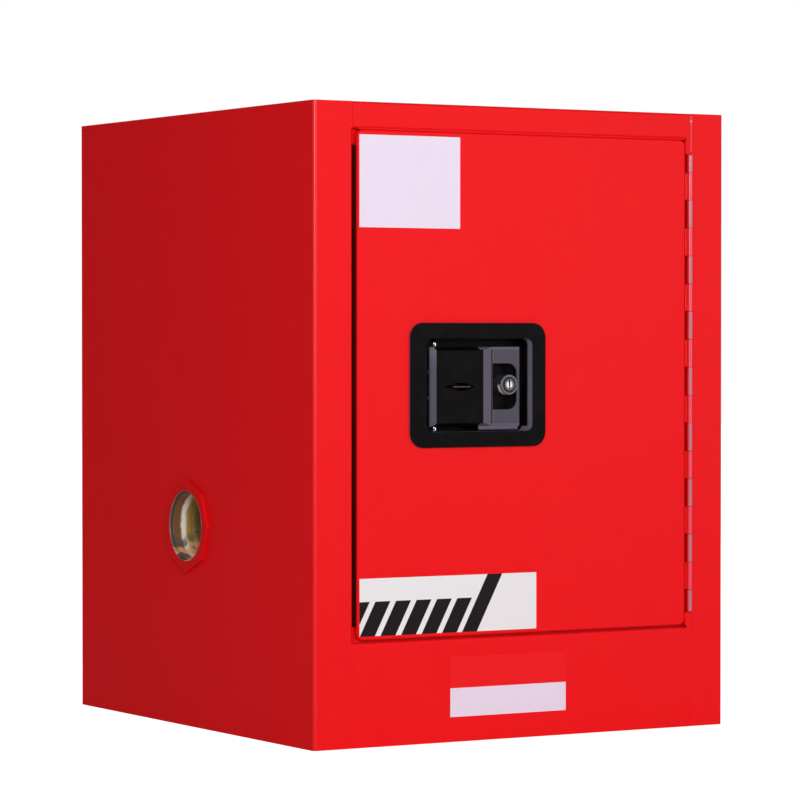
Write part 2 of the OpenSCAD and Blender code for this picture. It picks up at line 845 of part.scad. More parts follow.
module cover_screws() {
    head_l = 1.2;
    shank_l = 4;
    color(ZINC) cover_screw_places() {
        bar_d(door_t + sheet_t, door_t + sheet_t + head_l, 0, 0, 3.8);
        bar_d(door_t - shank_l, door_t + sheet_t, 0, 0, cover_screw_r);
    }
}

// ---- Decals, left without any words or signs ----

upper_decal_w = 102;
upper_decal_h = 80.3;
upper_decal_drop = 4.3;
lower_decal_w = 181.7;
lower_decal_h = 50.2;
lower_decal_rise = 3.4;
decal_inset = 1.8;
sill_decal_w = 121;
sill_decal_h = 53;
sill_decal_x = 137.5;
sill_decal_z = 22;

module decal(x0, z0, w, h) {
    color(VINYL) depth_block([x0, x0 + w], [-decal_t, 0], [z0, z0 + h]);
}

module upper_decal() {
    decal(door_left_x + decal_inset, door_high_z - upper_decal_drop - upper_decal_h,
          upper_decal_w, upper_decal_h);
}

module lower_decal() {
    decal(door_left_x + decal_inset, door_low_z + lower_decal_rise, lower_decal_w, lower_decal_h);
}

module sill_decal() {
    decal(left_x + sill_decal_x, sill_decal_z, sill_decal_w, sill_decal_h);
}

// ---- Latch ----

arm_gap = 1;
arm_t = 3;
arm_w = 5;
arm_z = bolt_h / 2 + arm_gap;
arm_slot_play = 0.8;
lock_shank_r = 7.5;
lock_front_d = 3;
lock_back_d = 26;
plug_back_d = lock_back_d + 0.6;

// The two slots in the pan's floor that the crank arms swing in
module arm_slots() {
    for (s = [-1, 1])
        depth_block([pivot_x - arm_w, pivot_x + crank_l * 0.62], [pocket_d - 1, pan_back_d + 1],
                    span(latch_z + s * (arm_z + arm_t / 2), arm_t / 2 + arm_slot_play));
}

// The black pan let into the door, with its four fixing studs
module latch_pan() {
    stud_l = 8;
    color(BLACK) {
        difference() {
            union() {
                translate([latch_x, 0, latch_z]) slab(-flange_t, 0) round_rect(flange_w, flange_h, flange_r);
                translate([pocket_x, 0, latch_z]) slab(-flange_t / 2, pan_back_d)
                    round_rect(pocket_w + 2 * pan_t, pocket_h + 2 * pan_t, pocket_r + pan_t);
            }
            translate([pocket_x, 0, latch_z]) slab(-flange_t - 1, pocket_d)
                round_rect(pocket_w, pocket_h, pocket_r);
            arm_slots();
            bar_d(pocket_d - 1, pan_back_d + 1, lock_x, latch_z, lock_shank_r + bore_play);
            bar_z(latch_z - pocket_h, latch_z + pocket_h, pivot_x, front_y + pivot_d, pivot_r + bore_play);
        }
        for (x = [-1, 1], z = [-1, 1])
            bar_d(-flange_t / 2, stud_l, latch_x + x * stud_dx, latch_z + z * stud_dz, stud_m);
    }
}

module latch_nuts() {
    nut_r = 4.4;
    nut_l = 4;
    color(ZINC) for (x = [-1, 1], z = [-1, 1]) difference() {
        bar_d(sheet_t, sheet_t + nut_l, latch_x + x * stud_dx, latch_z + z * stud_dz, nut_r, 6);
        bar_d(0, sheet_t + nut_l + 1, latch_x + x * stud_dx, latch_z + z * stud_dz, stud_m + bore_play);
    }
}

module paddle_pin() {
    end_l = 1.2;
    half_l = pocket_h / 2 + pan_t + end_l;
    color(CHROME) bar_z(latch_z - half_l, latch_z + half_l, pivot_x, front_y + pivot_d, pivot_r);
}

// Sizes of the paddle, across from its pivot and back from the door's face
panel_d = 1;
plate_d = 6;
panel_left = 2;
slope_w = 3;
left_slope_w = 3.6;
panel_side_share = 0.75;
panel_right = 47;
slope_right = 58.5;
plate_right = 87;
window_w = 25.6;
window_h = 41;
window_r = 9;
slot_from_pivot = 22;
slot_l = 30;
slot_tall = 7;

// The paddle's pressed plate: a raised grip with sloping sides, and a flat round the lock.
// inset is 0 for the outside and the sheet's thickness for the hollow behind it.
module paddle_form(inset) {
    y0 = front_y + inset;
    back_y0 = front_y + plate_d + paddle_t;
    side = inset * panel_side_share;
    half = paddle_h / 2 - side;
    intersection() {
        upright(paddle_z - paddle_h, paddle_z + paddle_h) polygon([
            [pivot_x - panel_left - left_slope_w + side, back_y0],
            [pivot_x - panel_left - left_slope_w + side, y0 + plate_d],
            [pivot_x - panel_left + side, y0 + panel_d], [pivot_x + panel_right - side, y0 + panel_d],
            [pivot_x + slope_right - side, y0 + plate_d], [pivot_x + plate_right, y0 + plate_d],
            [pivot_x + plate_right, back_y0]
        ]);
        translate([0, 0, paddle_z]) crosswise(pivot_x - paddle_h, pivot_x + 2 * paddle_h) polygon([
            [back_y0, -half], [y0 + plate_d, -half], [y0 + panel_d, slope_w - half],
            [y0 + panel_d, half - slope_w], [y0 + plate_d, half], [back_y0, half]
        ]);
    }
}

// A lens-shaped outline, long in X
module lens(l, h) {
    r = (l * l / 4 + h * h / 4) / h;
    intersection() {
        translate([0, r - h / 2]) circle(r, $fn = 128);
        translate([0, h / 2 - r]) circle(r, $fn = 128);
    }
}

module lock_window() {
    translate([pocket_left_x + window_from_wall, 0, paddle_z]) slab(-1, pocket_d) {
        round_rect(window_w, window_h, window_r);
        translate([-window_w / 4, 0]) square([window_w / 2, window_h], center = true);
    }
}

// The crank: two arms over and under the bolt, joined by the pin that drives it
module crank() {
    for (s = [-1, 1])
        depth_block(span(pivot_x, arm_w / 2), [pivot_d, crank_d + crank_r],
                    span(latch_z + s * (arm_z + arm_t / 2), arm_t / 2));
    bar_z(latch_z - arm_z - arm_t / 2, latch_z + arm_z + arm_t / 2, pivot_x, front_y + crank_d, crank_r);
}

module paddle() {
    color(BLACK) difference() {
        union() {
            difference() {
                paddle_form(0);
                paddle_form(paddle_t);
            }
            bar_z(paddle_z - paddle_h / 2, paddle_z + paddle_h / 2, pivot_x, front_y + pivot_d, barrel_r);
            crank();
        }
        lock_window();
        translate([pivot_x + slot_from_pivot, 0, paddle_z]) slab(-1, pivot_d) lens(slot_l, slot_tall);
        bar_z(latch_z - paddle_h, latch_z + paddle_h, pivot_x, front_y + pivot_d, pivot_r + bore_play);
    }
}

staple_w = 20;
staple_out = 4.2;
staple_foot_h = 22;
staple_web = 1.4;
staple_corner_r = 3;

// The staple stands through the paddle's slot, so that a padlock keeps the paddle shut
module padlock_staple() {
    x = pivot_x + slot_from_pivot;
    tongue_z = span(paddle_z, staple_t / 2);
    inner_w = staple_w / 2 - staple_corner_r;
    color(ZINC) {
        difference() {
            union() {
                for (s = [-1, 1])
                    bar_z(tongue_z[0], tongue_z[1], x + s * inner_w,
                          front_y - staple_out + staple_corner_r, staple_corner_r);
                depth_block(span(x, inner_w), [-staple_out, pocket_d], tongue_z);
                depth_block(span(x, staple_w / 2), [staple_corner_r - staple_out, pocket_d], tongue_z);
            }
            bar_z(tongue_z[0] - 1, tongue_z[1] + 1, x,
                  front_y - staple_out + staple_web + shackle_r, shackle_r);
        }
        depth_block(span(x, staple_w / 2), [pocket_d - staple_t, pocket_d],
                    span(paddle_z, staple_foot_h / 2));
    }
}

module lock_barrel() {
    color(CHROME) difference() {
        union() {
            bar_d(lock_front_d, pocket_d, lock_x, latch_z, lock_r);
            bar_d(pocket_d, lock_back_d, lock_x, latch_z, lock_shank_r);
        }
        bar_d(lock_front_d - 1, lock_back_d + 1, lock_x, latch_z, plug_r + bore_play);
    }
}

module lock_nut() {
    nut_r = 13;
    nut_l = 4;
    color(ZINC) difference() {
        bar_d(pan_back_d, pan_back_d + nut_l, lock_x, latch_z, nut_r, 6);
        bar_d(pan_back_d - 1, pan_back_d + nut_l + 1, lock_x, latch_z, lock_shank_r + bore_play);
    }
}

tail_w = 6;
tail_l = 3;
cam_t = 2.5;
cam_screw_r = 1.5;

// The plug turns in the barrel, and its square tail carries the cam
module key_plug() {
    key_w = 1.4;
    key_h = 8;
    key_d = 9;
    color(CHROME) difference() {
        union() {
            bar_d(lock_front_d - 0.4, plug_back_d, lock_x, latch_z, plug_r);
            depth_block(span(lock_x, tail_w / 2), [plug_back_d, plug_back_d + tail_l],
                        span(latch_z, tail_w / 2));
        }
        depth_block(span(lock_x, key_w / 2), [lock_front_d - 1, lock_front_d + key_d],
                    span(latch_z, key_h / 2));
        bar_d(lock_back_d - 6, plug_back_d + tail_l + 1, lock_x, latch_z, cam_screw_r + bore_play);
    }
}

cam_low_d = lock_back_d + 1;

// The cam points up while the lock is open, and a quarter turn points it at the bolt
module lock_cam() {
    cam_w = 12;
    tail_play = 0.05;
    color(ZINC) difference() {
        union() {
            depth_block(span(lock_x, cam_w / 2), [cam_low_d, cam_low_d + cam_t], [latch_z, latch_z + cam_l]);
            bar_d(cam_low_d, cam_low_d + cam_t, lock_x, latch_z, cam_w / 2 + 2);
        }
        depth_block(span(lock_x, tail_w / 2 + tail_play), [cam_low_d - 1, cam_low_d + cam_t + 1],
                    span(latch_z, tail_w / 2 + tail_play));
    }
}

module cam_screw() {
    seat_d = plug_back_d + tail_l;
    color(ZINC) {
        bar_d(seat_d, seat_d + 1.6, lock_x, latch_z, 4.6);
        bar_d(lock_back_d - 5, seat_d, lock_x, latch_z, cam_screw_r);
    }
}

fork_l = 14;
fork_d = 10;
fork_play = 0.5;
fork_web = 2;
guide_inset = 28;
guide_w = 16;

// The bolt bar, with a fork at its right end for the crank pin and a bevelled nose
module latch_bolt() {
    bar_d0 = bolt_mid_d - bolt_t / 2;
    bar_d1 = bolt_mid_d + bolt_t / 2;
    fork_d0 = bolt_mid_d - fork_d / 2 + 1;
    fork_d1 = crank_d + crank_r + fork_play + fork_web;
    nose_x = door_left_x - nose_out;
    nose_bevel = 3;
    color(ZINC) difference() {
        union() {
            depth_block([nose_x, pivot_x], [bar_d0, bar_d1], span(latch_z, bolt_h / 2));
            depth_block(span(pivot_x, fork_l / 2), [fork_d0, fork_d1], span(latch_z, bolt_h / 2));
        }
        depth_block(span(pivot_x, crank_r + fork_play), [fork_d0 - 1, crank_d + crank_r + fork_play],
                    span(latch_z, bolt_h));
        translate([nose_x, front_y + bar_d1, latch_z - bolt_h]) rotate([0, 0, 45])
            translate([-nose_bevel, -nose_bevel / sqrt(2), 0]) cube([2 * nose_bevel, nose_bevel, 2 * bolt_h]);
    }
}

// The block on the inside of the door's tray that the bolt slides in
module bolt_guide() {
    play = 0.3;
    cheek = 4;
    web = 1.5;
    guide_x = [door_left_x + guide_inset, door_left_x + guide_inset + guide_w];
    slot_d = span(bolt_mid_d, bolt_t / 2 + play);
    color(ZINC) difference() {
        depth_block(guide_x, [slot_d[0] - web, door_t - sheet_t], span(latch_z, bolt_h / 2 + play + cheek));
        depth_block(guide_x + [-1, 1], slot_d, span(latch_z, bolt_h / 2 + play));
    }
}

spring_gap = 0.2;
spring_left_x = pivot_x + fork_l / 2 + spring_gap;
spring_l = 26;
spring_r = 4.2;
wire_r = 0.55;
spring_turns = 8;
stop_x = spring_left_x + spring_l + spring_gap;
stop_t = 2;

// The bracket on the back of the pan that the spring pushes against
module spring_stop() {
    foot_l = 10;
    half_h = 8;
    color(ZINC) {
        depth_block([stop_x, stop_x + stop_t], [pan_back_d, bolt_mid_d + 5], span(latch_z, half_h));
        depth_block([stop_x, stop_x + foot_l], [pan_back_d, pan_back_d + stop_t], span(latch_z, half_h));
    }
}

// One unbroken wire that winds along X
module coil(turns, r, wire, l, per_turn = 10, sides = 6) {
    steps = turns * per_turn;
    run = l - 2 * wire;
    rings = [for (i = [0:steps]) let (a = 360 * i / per_turn, x = wire + run * i / steps)
        for (k = [0:sides - 1]) let (b = 360 * k / sides, q = r - wire + wire * cos(b))
            [x + wire * sin(b), q * cos(a), q * sin(a)]];
    faces = [
        [for (k = [0:sides - 1]) k],
        [for (k = [sides - 1:-1:0]) steps * sides + k],
        for (i = [0:steps - 1], k = [0:sides - 1]) let (n = (k + 1) % sides, p = i * sides)
            each [[p + k, p + sides + k, p + sides + n], [p + k, p + sides + n, p + n]]
    ];
    polyhedron(rings, faces);
}

// The spring that throws the bolt
module bolt_spring() {
    color(ZINC) translate([spring_left_x, front_y + bolt_mid_d, latch_z])
        coil(spring_turns, spring_r, wire_r, spring_l);
}

left_side_panel();
right_side_panel();
top_panel();
back_panel();
bottom_panel();
front_sill();
head_rail();
sill_rail();
sump_pan();
liner_left();
liner_right();
liner_top();
liner_back();
floor_supports();
back_spacers();
strike_plate();
strike_screws();
hinge_frame_leaf();
hinge_pin();
vent_flange(-1, vent_left_z);  // vent_flange_left
vent_flange(1, vent_right_z);  // vent_flange_right
vent_collar(-1, vent_left_z);  // vent_collar_left
vent_collar(1, vent_right_z);  // vent_collar_right
flame_screens(-1, vent_left_z);  // flame_screens_left
flame_screens(1, vent_right_z);  // flame_screens_right
vent_locknut(-1, vent_left_z);  // vent_locknut_left
vent_locknut(1, vent_right_z);  // vent_locknut_right
ground_stud();
ground_nut();
shelf_uprights();
shelf_clips();
sill_decal();
shelf_tray();
door_skin();
door_liner();
hinge_door_leaf();
upper_decal();
lower_decal();
latch_pan();
latch_nuts();
latch_cover();
cover_screws();
paddle_pin();
padlock_staple();
lock_barrel();
lock_nut();
bolt_guide();
spring_stop();
bolt_spring();
paddle();
latch_bolt();
key_plug();
lock_cam();
cam_screw();
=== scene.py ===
# Red safety cabinet for reagents: finishes, fine detail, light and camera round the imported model
import bpy
import bmesh
import json
import math
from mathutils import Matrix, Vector


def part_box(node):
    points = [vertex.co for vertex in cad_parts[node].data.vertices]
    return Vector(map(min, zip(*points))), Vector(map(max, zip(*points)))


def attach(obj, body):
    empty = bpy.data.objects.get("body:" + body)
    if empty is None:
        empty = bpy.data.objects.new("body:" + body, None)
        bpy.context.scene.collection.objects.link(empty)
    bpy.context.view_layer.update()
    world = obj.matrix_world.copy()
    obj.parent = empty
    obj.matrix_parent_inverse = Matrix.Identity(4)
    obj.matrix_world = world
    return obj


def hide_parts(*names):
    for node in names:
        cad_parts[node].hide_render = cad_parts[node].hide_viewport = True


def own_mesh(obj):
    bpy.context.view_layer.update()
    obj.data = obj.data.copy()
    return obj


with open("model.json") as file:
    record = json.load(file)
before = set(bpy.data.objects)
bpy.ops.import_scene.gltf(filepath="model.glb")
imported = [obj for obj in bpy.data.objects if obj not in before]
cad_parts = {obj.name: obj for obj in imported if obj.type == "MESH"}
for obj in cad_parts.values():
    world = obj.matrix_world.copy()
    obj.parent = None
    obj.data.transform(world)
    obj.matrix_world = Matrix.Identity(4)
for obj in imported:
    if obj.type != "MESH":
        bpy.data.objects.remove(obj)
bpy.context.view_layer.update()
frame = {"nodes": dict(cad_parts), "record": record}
nodes = frame["nodes"]
bodies = frame["record"]["behaviour"]["bodies"]
bodyOf = {node: body for body, names in bodies.items() for node in names}
slotOf = {part["node"]: part["material_slot"] for part in frame["record"]["subparts"]}
mm = 0.001
print("frame loaded:", len(nodes), "nodes")


# Shader and geometry maths: a Wire is one output socket, and arithmetic on it adds Math nodes
class Wire:
    def __init__(self, tree, socket=None):
        self.tree = tree
        self.socket = socket

    def node(self, kind, settings=None, inputs=None, out=0):
        made = self.tree.nodes.new(kind)
        for key, value in (settings or {}).items():
            if key == "stops":
                ramp = made.color_ramp
                while len(ramp.elements) < len(value):
                    ramp.elements.new(0.5)
                for element, (at, colour) in zip(ramp.elements, value):
                    element.position = at
                    element.color = (*colour, 1)
            else:
                setattr(made, key, value)
        for key, value in (inputs or {}).items():
            for one in value if isinstance(value, list) else [value]:
                if isinstance(one, Wire):
                    self.tree.links.new(one.socket, made.inputs[key])
                elif made.inputs[key].type == "RGBA":
                    made.inputs[key].default_value = (*one, 1)
                else:
                    made.inputs[key].default_value = one
        return Wire(self.tree, made.outputs[out] if len(made.outputs) else None)

    def math(self, operation, a, b=0.0, c=0.0, clamp=False):
        settings = {"operation": operation, "use_clamp": clamp}
        return self.node("ShaderNodeMath", settings, {0: a, 1: b, 2: c})

    def __add__(self, other):
        return self.math("ADD", self, other)

    __radd__ = __add__

    def __sub__(self, other):
        return self.math("SUBTRACT", self, other)

    def __rsub__(self, other):
        return self.math("SUBTRACT", other, self)

    def __mul__(self, other):
        return self.math("MULTIPLY", self, other)

    __rmul__ = __mul__

    def __truediv__(self, other):
        return self.math("DIVIDE", self, other)

    def above(self, edge, soft):  # 0 below the edge and 1 above it, over a soft width
        return self.math("MULTIPLY_ADD", self, 1 / soft, 0.5 - edge / soft, True)

    def inside(self, low, high, soft):
        return self.above(low, soft) * (1 - self.above(high, soft))

    def axis(self, letter):
        return self.node("ShaderNodeSeparateXYZ", None, {0: self}, "XYZ".index(letter))

    def scaled(self, factors):
        return self.node("ShaderNodeVectorMath", {"operation": "MULTIPLY"}, {0: self, 1: factors})

    def noise(self, size, detail=2.0, rough=0.5):  # lumps about size metres across
        return self.node("ShaderNodeTexNoise", None, {
            "Vector": self, "Scale": 1 / size, "Detail": detail, "Roughness": rough})

    def cells(self, size):  # one random colour for each cell
        return self.node("ShaderNodeTexVoronoi", None, {"Vector": self, "Scale": 1 / size}, 1)

    def ramp(self, *stops):
        return self.node("ShaderNodeValToRGB", {"stops": stops}, {0: self})

    def between(self, low, high):
        return self.math("MULTIPLY_ADD", self, high - low, low)

    def blend(self, first, second):  # chooses between two colours
        return self.node("ShaderNodeMix", {"data_type": "RGBA"}, {0: self, 6: first, 7: second}, 2)

    def bump(self, distance, under=None):  # a height of 0 to 1 becomes a relief of that many metres
        inputs = {"Height": self, "Distance": distance}
        if under is not None:
            inputs["Normal"] = under
        return self.node("ShaderNodeBump", None, inputs)


def newFinish(name):
    material = bpy.data.materials.new(name)
    material.use_nodes = True
    material.node_tree.nodes.clear()
    return material, Wire(material.node_tree).node("ShaderNodeTexCoord", None, None, 3)


def surface(material, place, **inputs):
    shader = place.node("ShaderNodeBsdfPrincipled", None, {
        key.replace("_", " "): value for key, value in inputs.items()})
    place.node("ShaderNodeOutputMaterial", None, {"Surface": shader})
    return material


# Places on the cabinet that the finishes and the pieces refer to
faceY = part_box("left_side_panel")[0].y
portLow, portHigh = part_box("vent_collar_left")
mouthX = -portLow.x
portZ = (portLow.z + portHigh.z) / 2
paddleLow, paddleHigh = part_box("paddle")
lockLow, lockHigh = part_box("lock_barrel")
doorLow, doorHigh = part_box("door_skin")
sillLow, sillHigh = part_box("front_sill")


# Finishes
redPaint = {
    "colour": (0.80, 0.0068, 0.0100), "deep": (0.77, 0.0056, 0.0085), "gloss": 0.33,
    "specular": 0.07, "peel": 1.7 * mm, "relief": 0.022 * mm, "wave": 90 * mm,
    "waveHeight": 0.35 * mm, "cloud": 24 * mm,
}
# painted shade: a darker red that dims the vent flanges' lit facets
flangeShadePaint = {**redPaint, "colour": (0.73, 0.006, 0.009), "deep": (0.7, 0.0052, 0.008)}
knucklePaint = {**redPaint, "gloss": 0.22, "specular": 0.8, "peel": 2.6 * mm}
frontBend = {  # the clear shine on the front left fold, stronger towards the top
    "x": -211.8 * mm, "y": -226.9 * mm, "soft": 0.6 * mm, "fadeZ": 400 * mm, "fade": 400 * mm,
    "low": 0.35, "high": 1.0, "rough": 0.38,
}
crown = {  # the roll of the hinge's knuckles, and the painted highlight tone that each leaf has there, greyer on the frame leaf
    "x": 175.5 * mm, "y": -229.7 * mm, "soft": 0.7 * mm, "frame": (0.5, 0.15, 0.2),
    "door": (0.78, 0.055, 0.1),
}


def redCoat(name, paint, paintedSheen=None):
    # semi-gloss powder coat with a fine orange peel and a slow wave in the sheet; the last argument
    # is a painted highlight tone on a rolled knuckle's front crown
    material, place = newFinish(name)
    x, y, z = [place.axis(letter) for letter in "XYZ"]
    peel = place.noise(paint["peel"], 1.5)
    wave = place.noise(paint["wave"], 1.0)
    cloud = place.noise(paint["cloud"], 3.0)
    relief = peel.bump(paint["relief"], wave.bump(paint["waveHeight"]))
    bend = ((1 - x.above(frontBend["x"], frontBend["soft"]))
            * (1 - y.above(frontBend["y"], frontBend["soft"])))
    rise = z.above(frontBend["fadeZ"], frontBend["fade"])
    colour = cloud.blend(paint["deep"], paint["colour"])
    if paintedSheen:
        # painted highlight: the knuckle's front crown takes the highlight tone
        sheenMask = x.above(crown["x"], crown["soft"]) * (1 - y.above(crown["y"], crown["soft"]))
        colour = sheenMask.blend(colour, paintedSheen)
    gloss = paint["gloss"]
    return surface(
        material, place, Base_Color=colour, Normal=relief, Specular_IOR_Level=paint["specular"],
        Roughness=(0.7 * cloud + 0.3 * peel).between(gloss - 0.05, gloss + 0.07),
        Coat_Weight=bend * rise.between(frontBend["low"], frontBend["high"]),
        Coat_Roughness=frontBend["rough"])


# lit and wall are painted light: greyer tones on the faces that the masks pick; rubbed is random
# wear
blackPaint = {
    "colour": (0.0025, 0.0018, 0.002), "lit": (0.155, 0.137, 0.19), "wall": (0.2, 0.17, 0.24),
    "rubbed": (0.05, 0.047, 0.055), "rubShare": 0.08, "rub": 14 * mm, "grain": 0.9 * mm,
    "relief": 0.03 * mm, "gloss": 0.42, "specular": 0.07,
}


def blackCoat(name, litMask, lit):  # satin black, with painted light: a greyer tone on the faces that litMask picks
    material, place = newFinish(name)
    grain = place.noise(blackPaint["grain"], 2.0)
    rub = place.noise(blackPaint["rub"], 4.0, 0.6)
    colour = litMask(place).blend(blackPaint["colour"], lit)
    colour = (rub.above(0.62, 0.3) * blackPaint["rubShare"]).blend(colour, blackPaint["rubbed"])
    gloss = blackPaint["gloss"]
    return surface(
        material, place, Base_Color=colour, Normal=grain.bump(blackPaint["relief"]),
        Roughness=rub.between(gloss - 0.08, gloss + 0.1),
        Specular_IOR_Level=blackPaint["specular"])


plating = {"patch": 9 * mm, "relief": 0.01 * mm}
plates = {  # two tones, the grain's size, the roughness, and the stretch of a drawn grain
    "zincPlate": (((0.5, 0.52, 0.55), (0.66, 0.67, 0.68)), 0.5 * mm, (0.25, 0.42)),
    "springWire": (((0.3, 0.3, 0.32), (0.5, 0.5, 0.52)), 0.3 * mm, (0.25, 0.45), (0.1, 1, 1)),
    "nickelPlate": (((0.62, 0.56, 0.44), (0.75, 0.7, 0.62)), 0.6 * mm, (0.1, 0.22), (0.2, 1, 1)),
    "chromePlate": (((0.76, 0.77, 0.8), (0.84, 0.84, 0.86)), 0.5 * mm, (0.05, 0.14)),
    "plainBrass": (((0.5, 0.34, 0.12), (0.66, 0.48, 0.2)), 0.5 * mm, (0.24, 0.4)),
    "darkSteel": (((0.05, 0.035, 0.035), (0.1, 0.075, 0.07)), 0.6 * mm, (0.35, 0.5)),
}


def metal(name, tones, size, roughness, along=(1, 1, 1)):
    # plated or bare metal: a drawn grain, and patches of a second tone
    material, place = newFinish(name)
    grain = place.scaled(along).noise(size, 3.0, 0.6)
    cloud = place.noise(plating["patch"], 3.0, 0.55)
    return surface(
        material, place, Base_Color=cloud.blend(*tones), Metallic=1.0,
        Roughness=(0.6 * grain + 0.4 * cloud).between(*roughness),
        Normal=grain.bump(plating["relief"]))


spangle = {
    "dull": (0.36, 0.38, 0.4), "bright": (0.6, 0.62, 0.64), "flake": 7 * mm, "fine": 0.8 * mm,
    "relief": 0.02 * mm, "roughness": (0.32, 0.58),
}


def galvanised():  # zinc spangle
    material, place = newFinish("galvanisedSheet")
    flake = place.cells(spangle["flake"]).axis("X")
    fine = place.noise(spangle["fine"], 2.0)
    return surface(
        material, place, Base_Color=flake.blend(spangle["dull"], spangle["bright"]), Metallic=1.0,
        Roughness=(0.6 * flake + 0.4 * fine).between(*spangle["roughness"]),
        Normal=fine.bump(spangle["relief"]))


chromate = {
    "edge": (0.2, 0.2, 0.17), "rim": (0.13, 0.11, 0.1), "brown": (0.24, 0.11, 0.045),
    # pale is a painted reflection; olive, deepest in, is darker as painted shade
    "pale": (1.0, 0.93, 0.82), "gold": (0.55, 0.33, 0.09), "olive": (0.18, 0.14, 0.04),
    "orange": (1.0, 0.56, 0.3), "bands": (
        (0.0, "edge"), (0.05, "rim"), (0.18, "brown"), (0.38, "brown"), (0.45, "pale"),
        (0.57, "pale"), (0.66, "gold"), (1.0, "olive")),
    "outer": 3 * mm, "reach": 26 * mm, "drift": 4 * mm,  # the bands' start, length and waviness
    "lowFrom": -14 * mm, "lowSoft": 12 * mm, "lowDrift": 30 * mm,  # the blotched lower part
    "cloud": 9 * mm, "patch": 16 * mm, "grain": 0.7 * mm, "relief": 0.02 * mm,
}


def yellowZinc():  # chromated zinc with painted reflection and shade: bands of colour along the port's depth, a pale band of painted reflection and darker olive deepest in as painted shade, broken into clouds; orange and dark blotches towards the bottom
    material, place = newFinish("yellowZinc")
    cloud = place.noise(chromate["cloud"], 3.0, 0.6)
    patch = place.noise(chromate["patch"], 2.0, 0.5)
    grain = place.noise(chromate["grain"], 2.0)
    depth = mouthX + chromate["outer"] - place.math("ABSOLUTE", place.axis("X"))
    depth = depth + (cloud - 0.5) * chromate["drift"]
    tone = (depth / chromate["reach"]).ramp(*[(at, chromate[key]) for at, key in chromate["bands"]])
    height = place.axis("Z") + (patch - 0.5) * chromate["lowDrift"]
    low = 1 - height.above(portZ + chromate["lowFrom"], chromate["lowSoft"])
    tone = (patch.above(0.5, 0.08) * 0.75 * low).blend(tone, chromate["orange"])
    tone = ((1 - patch.above(0.43, 0.06)) * 0.8 * low).blend(tone, chromate["rim"])
    return surface(
        material, place, Base_Color=tone, Metallic=0.15, Normal=grain.bump(chromate["relief"]),
        Roughness=(0.5 * cloud + 0.5 * grain).between(0.24, 0.4))


vinyl = {
    "white": (0.745, 0.66, 0.785), "paper": (0.76, 0.75, 0.76), "dark": (0.011, 0.0075, 0.009),
    "red": redPaint["colour"], "shade": 0.97, "cloud": 12 * mm, "ripple": 16 * mm,
    "rippleHeight": 0.12 * mm, "roughness": (0.3, 0.42), "specular": 0.12,
}


def vinylSheet(name, white, printed=None):  # satin film; printed gives a mask and its ink
    material, place = newFinish(name)
    cloud = place.noise(vinyl["cloud"], 2.0)
    colour = cloud.blend(white, tuple(vinyl["shade"] * part for part in white))
    if printed:
        mask, ink = printed(place)
        colour = mask.blend(colour, ink)
    ripple = place.noise(vinyl["ripple"], 1.0)
    return surface(
        material, place, Base_Color=colour, Roughness=cloud.between(*vinyl["roughness"]),
        Normal=ripple.bump(vinyl["rippleHeight"]), Specular_IOR_Level=vinyl["specular"])


stripes = {
    "top": 30 * mm, "pitch": 20.83 * mm, "width": 15.3 * mm, "slant": 0.525, "shortBars": 5,
    "endGap": 2 * mm, "soft": 0.25 * mm,
}


def stripedPrint(place):  # plain slanted bars along the foot, and one bar over the full height
    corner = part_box("lower_decal")[0]
    soft = stripes["soft"]
    pitch = stripes["pitch"]
    up = place.axis("Z") - corner.z
    lean = place.axis("X") - corner.x - stripes["slant"] * up
    step = place.math("FRACT", (lean + 4 * pitch) / pitch)
    bars = step.inside(0.5 * soft / pitch, stripes["width"] / pitch, soft / pitch)
    reach = stripes["shortBars"] * pitch
    short = bars * (1 - up.above(stripes["top"], soft))
    short = short * (1 - lean.above(reach - stripes["endGap"], soft))
    tall = lean.inside(reach, reach + stripes["width"], soft)
    return place.math("MAXIMUM", short, tall), vinyl["dark"]


band = {"foot": 25.4 * mm, "soft": 0.3 * mm}


def bandPrint(place):  # a plain red band over the upper half
    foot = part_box("sill_decal")[0].z + band["foot"]
    return place.axis("Z").above(foot, band["soft"]), vinyl["red"]


pocketFaces = {
    "wall": (-0.5 * mm, 7 * mm), "wallSoft": 3 * mm, "floor": (0.3 * mm, 16 * mm),
    "floorSoft": 1 * mm, "floorTop": 276.8 * mm, "topSoft": 0.6 * mm, "floorLeft": -44 * mm,
    "leftSoft": 6 * mm,
}


def pocketLit(place):
    # painted light: the shallow part of the pocket's walls and the right half of its floor take the
    # greyer lit tone
    deep = place.axis("Y") - faceY
    walls = deep.inside(*pocketFaces["wall"], pocketFaces["wallSoft"])
    floor = 1 - place.axis("Z").above(pocketFaces["floorTop"], pocketFaces["topSoft"])
    floor = floor * place.axis("X").above(pocketFaces["floorLeft"], pocketFaces["leftSoft"])
    floor = floor * deep.inside(*pocketFaces["floor"], pocketFaces["floorSoft"])
    return place.math("MAXIMUM", walls, floor)


# how much painted light each face of the paddle takes; creaseShade and windowShade are painted
# shade, leftRise a painted highlight towards the top
paddleFaces = {
    "leftEdge": 3.6 * mm, "leftTone": 0.72, "leftRise": 0.28, "riseFrom": 12 * mm,
    "riseSoft": 14 * mm, "slope": 52 * mm, "plateTone": 0.68, "windowEdge": 66 * mm,
    "windowShade": 0.16, "crease": (62.6 * mm, 64.6 * mm), "creaseShade": 0.72,
    "rim": 2.4 * mm, "rimReach": 3 * mm, "rimTone": 0.75, "soft": 0.5 * mm, "sharp": 0.3 * mm,
    "rimSoft": 0.4 * mm, "windowSoft": 1 * mm,
}


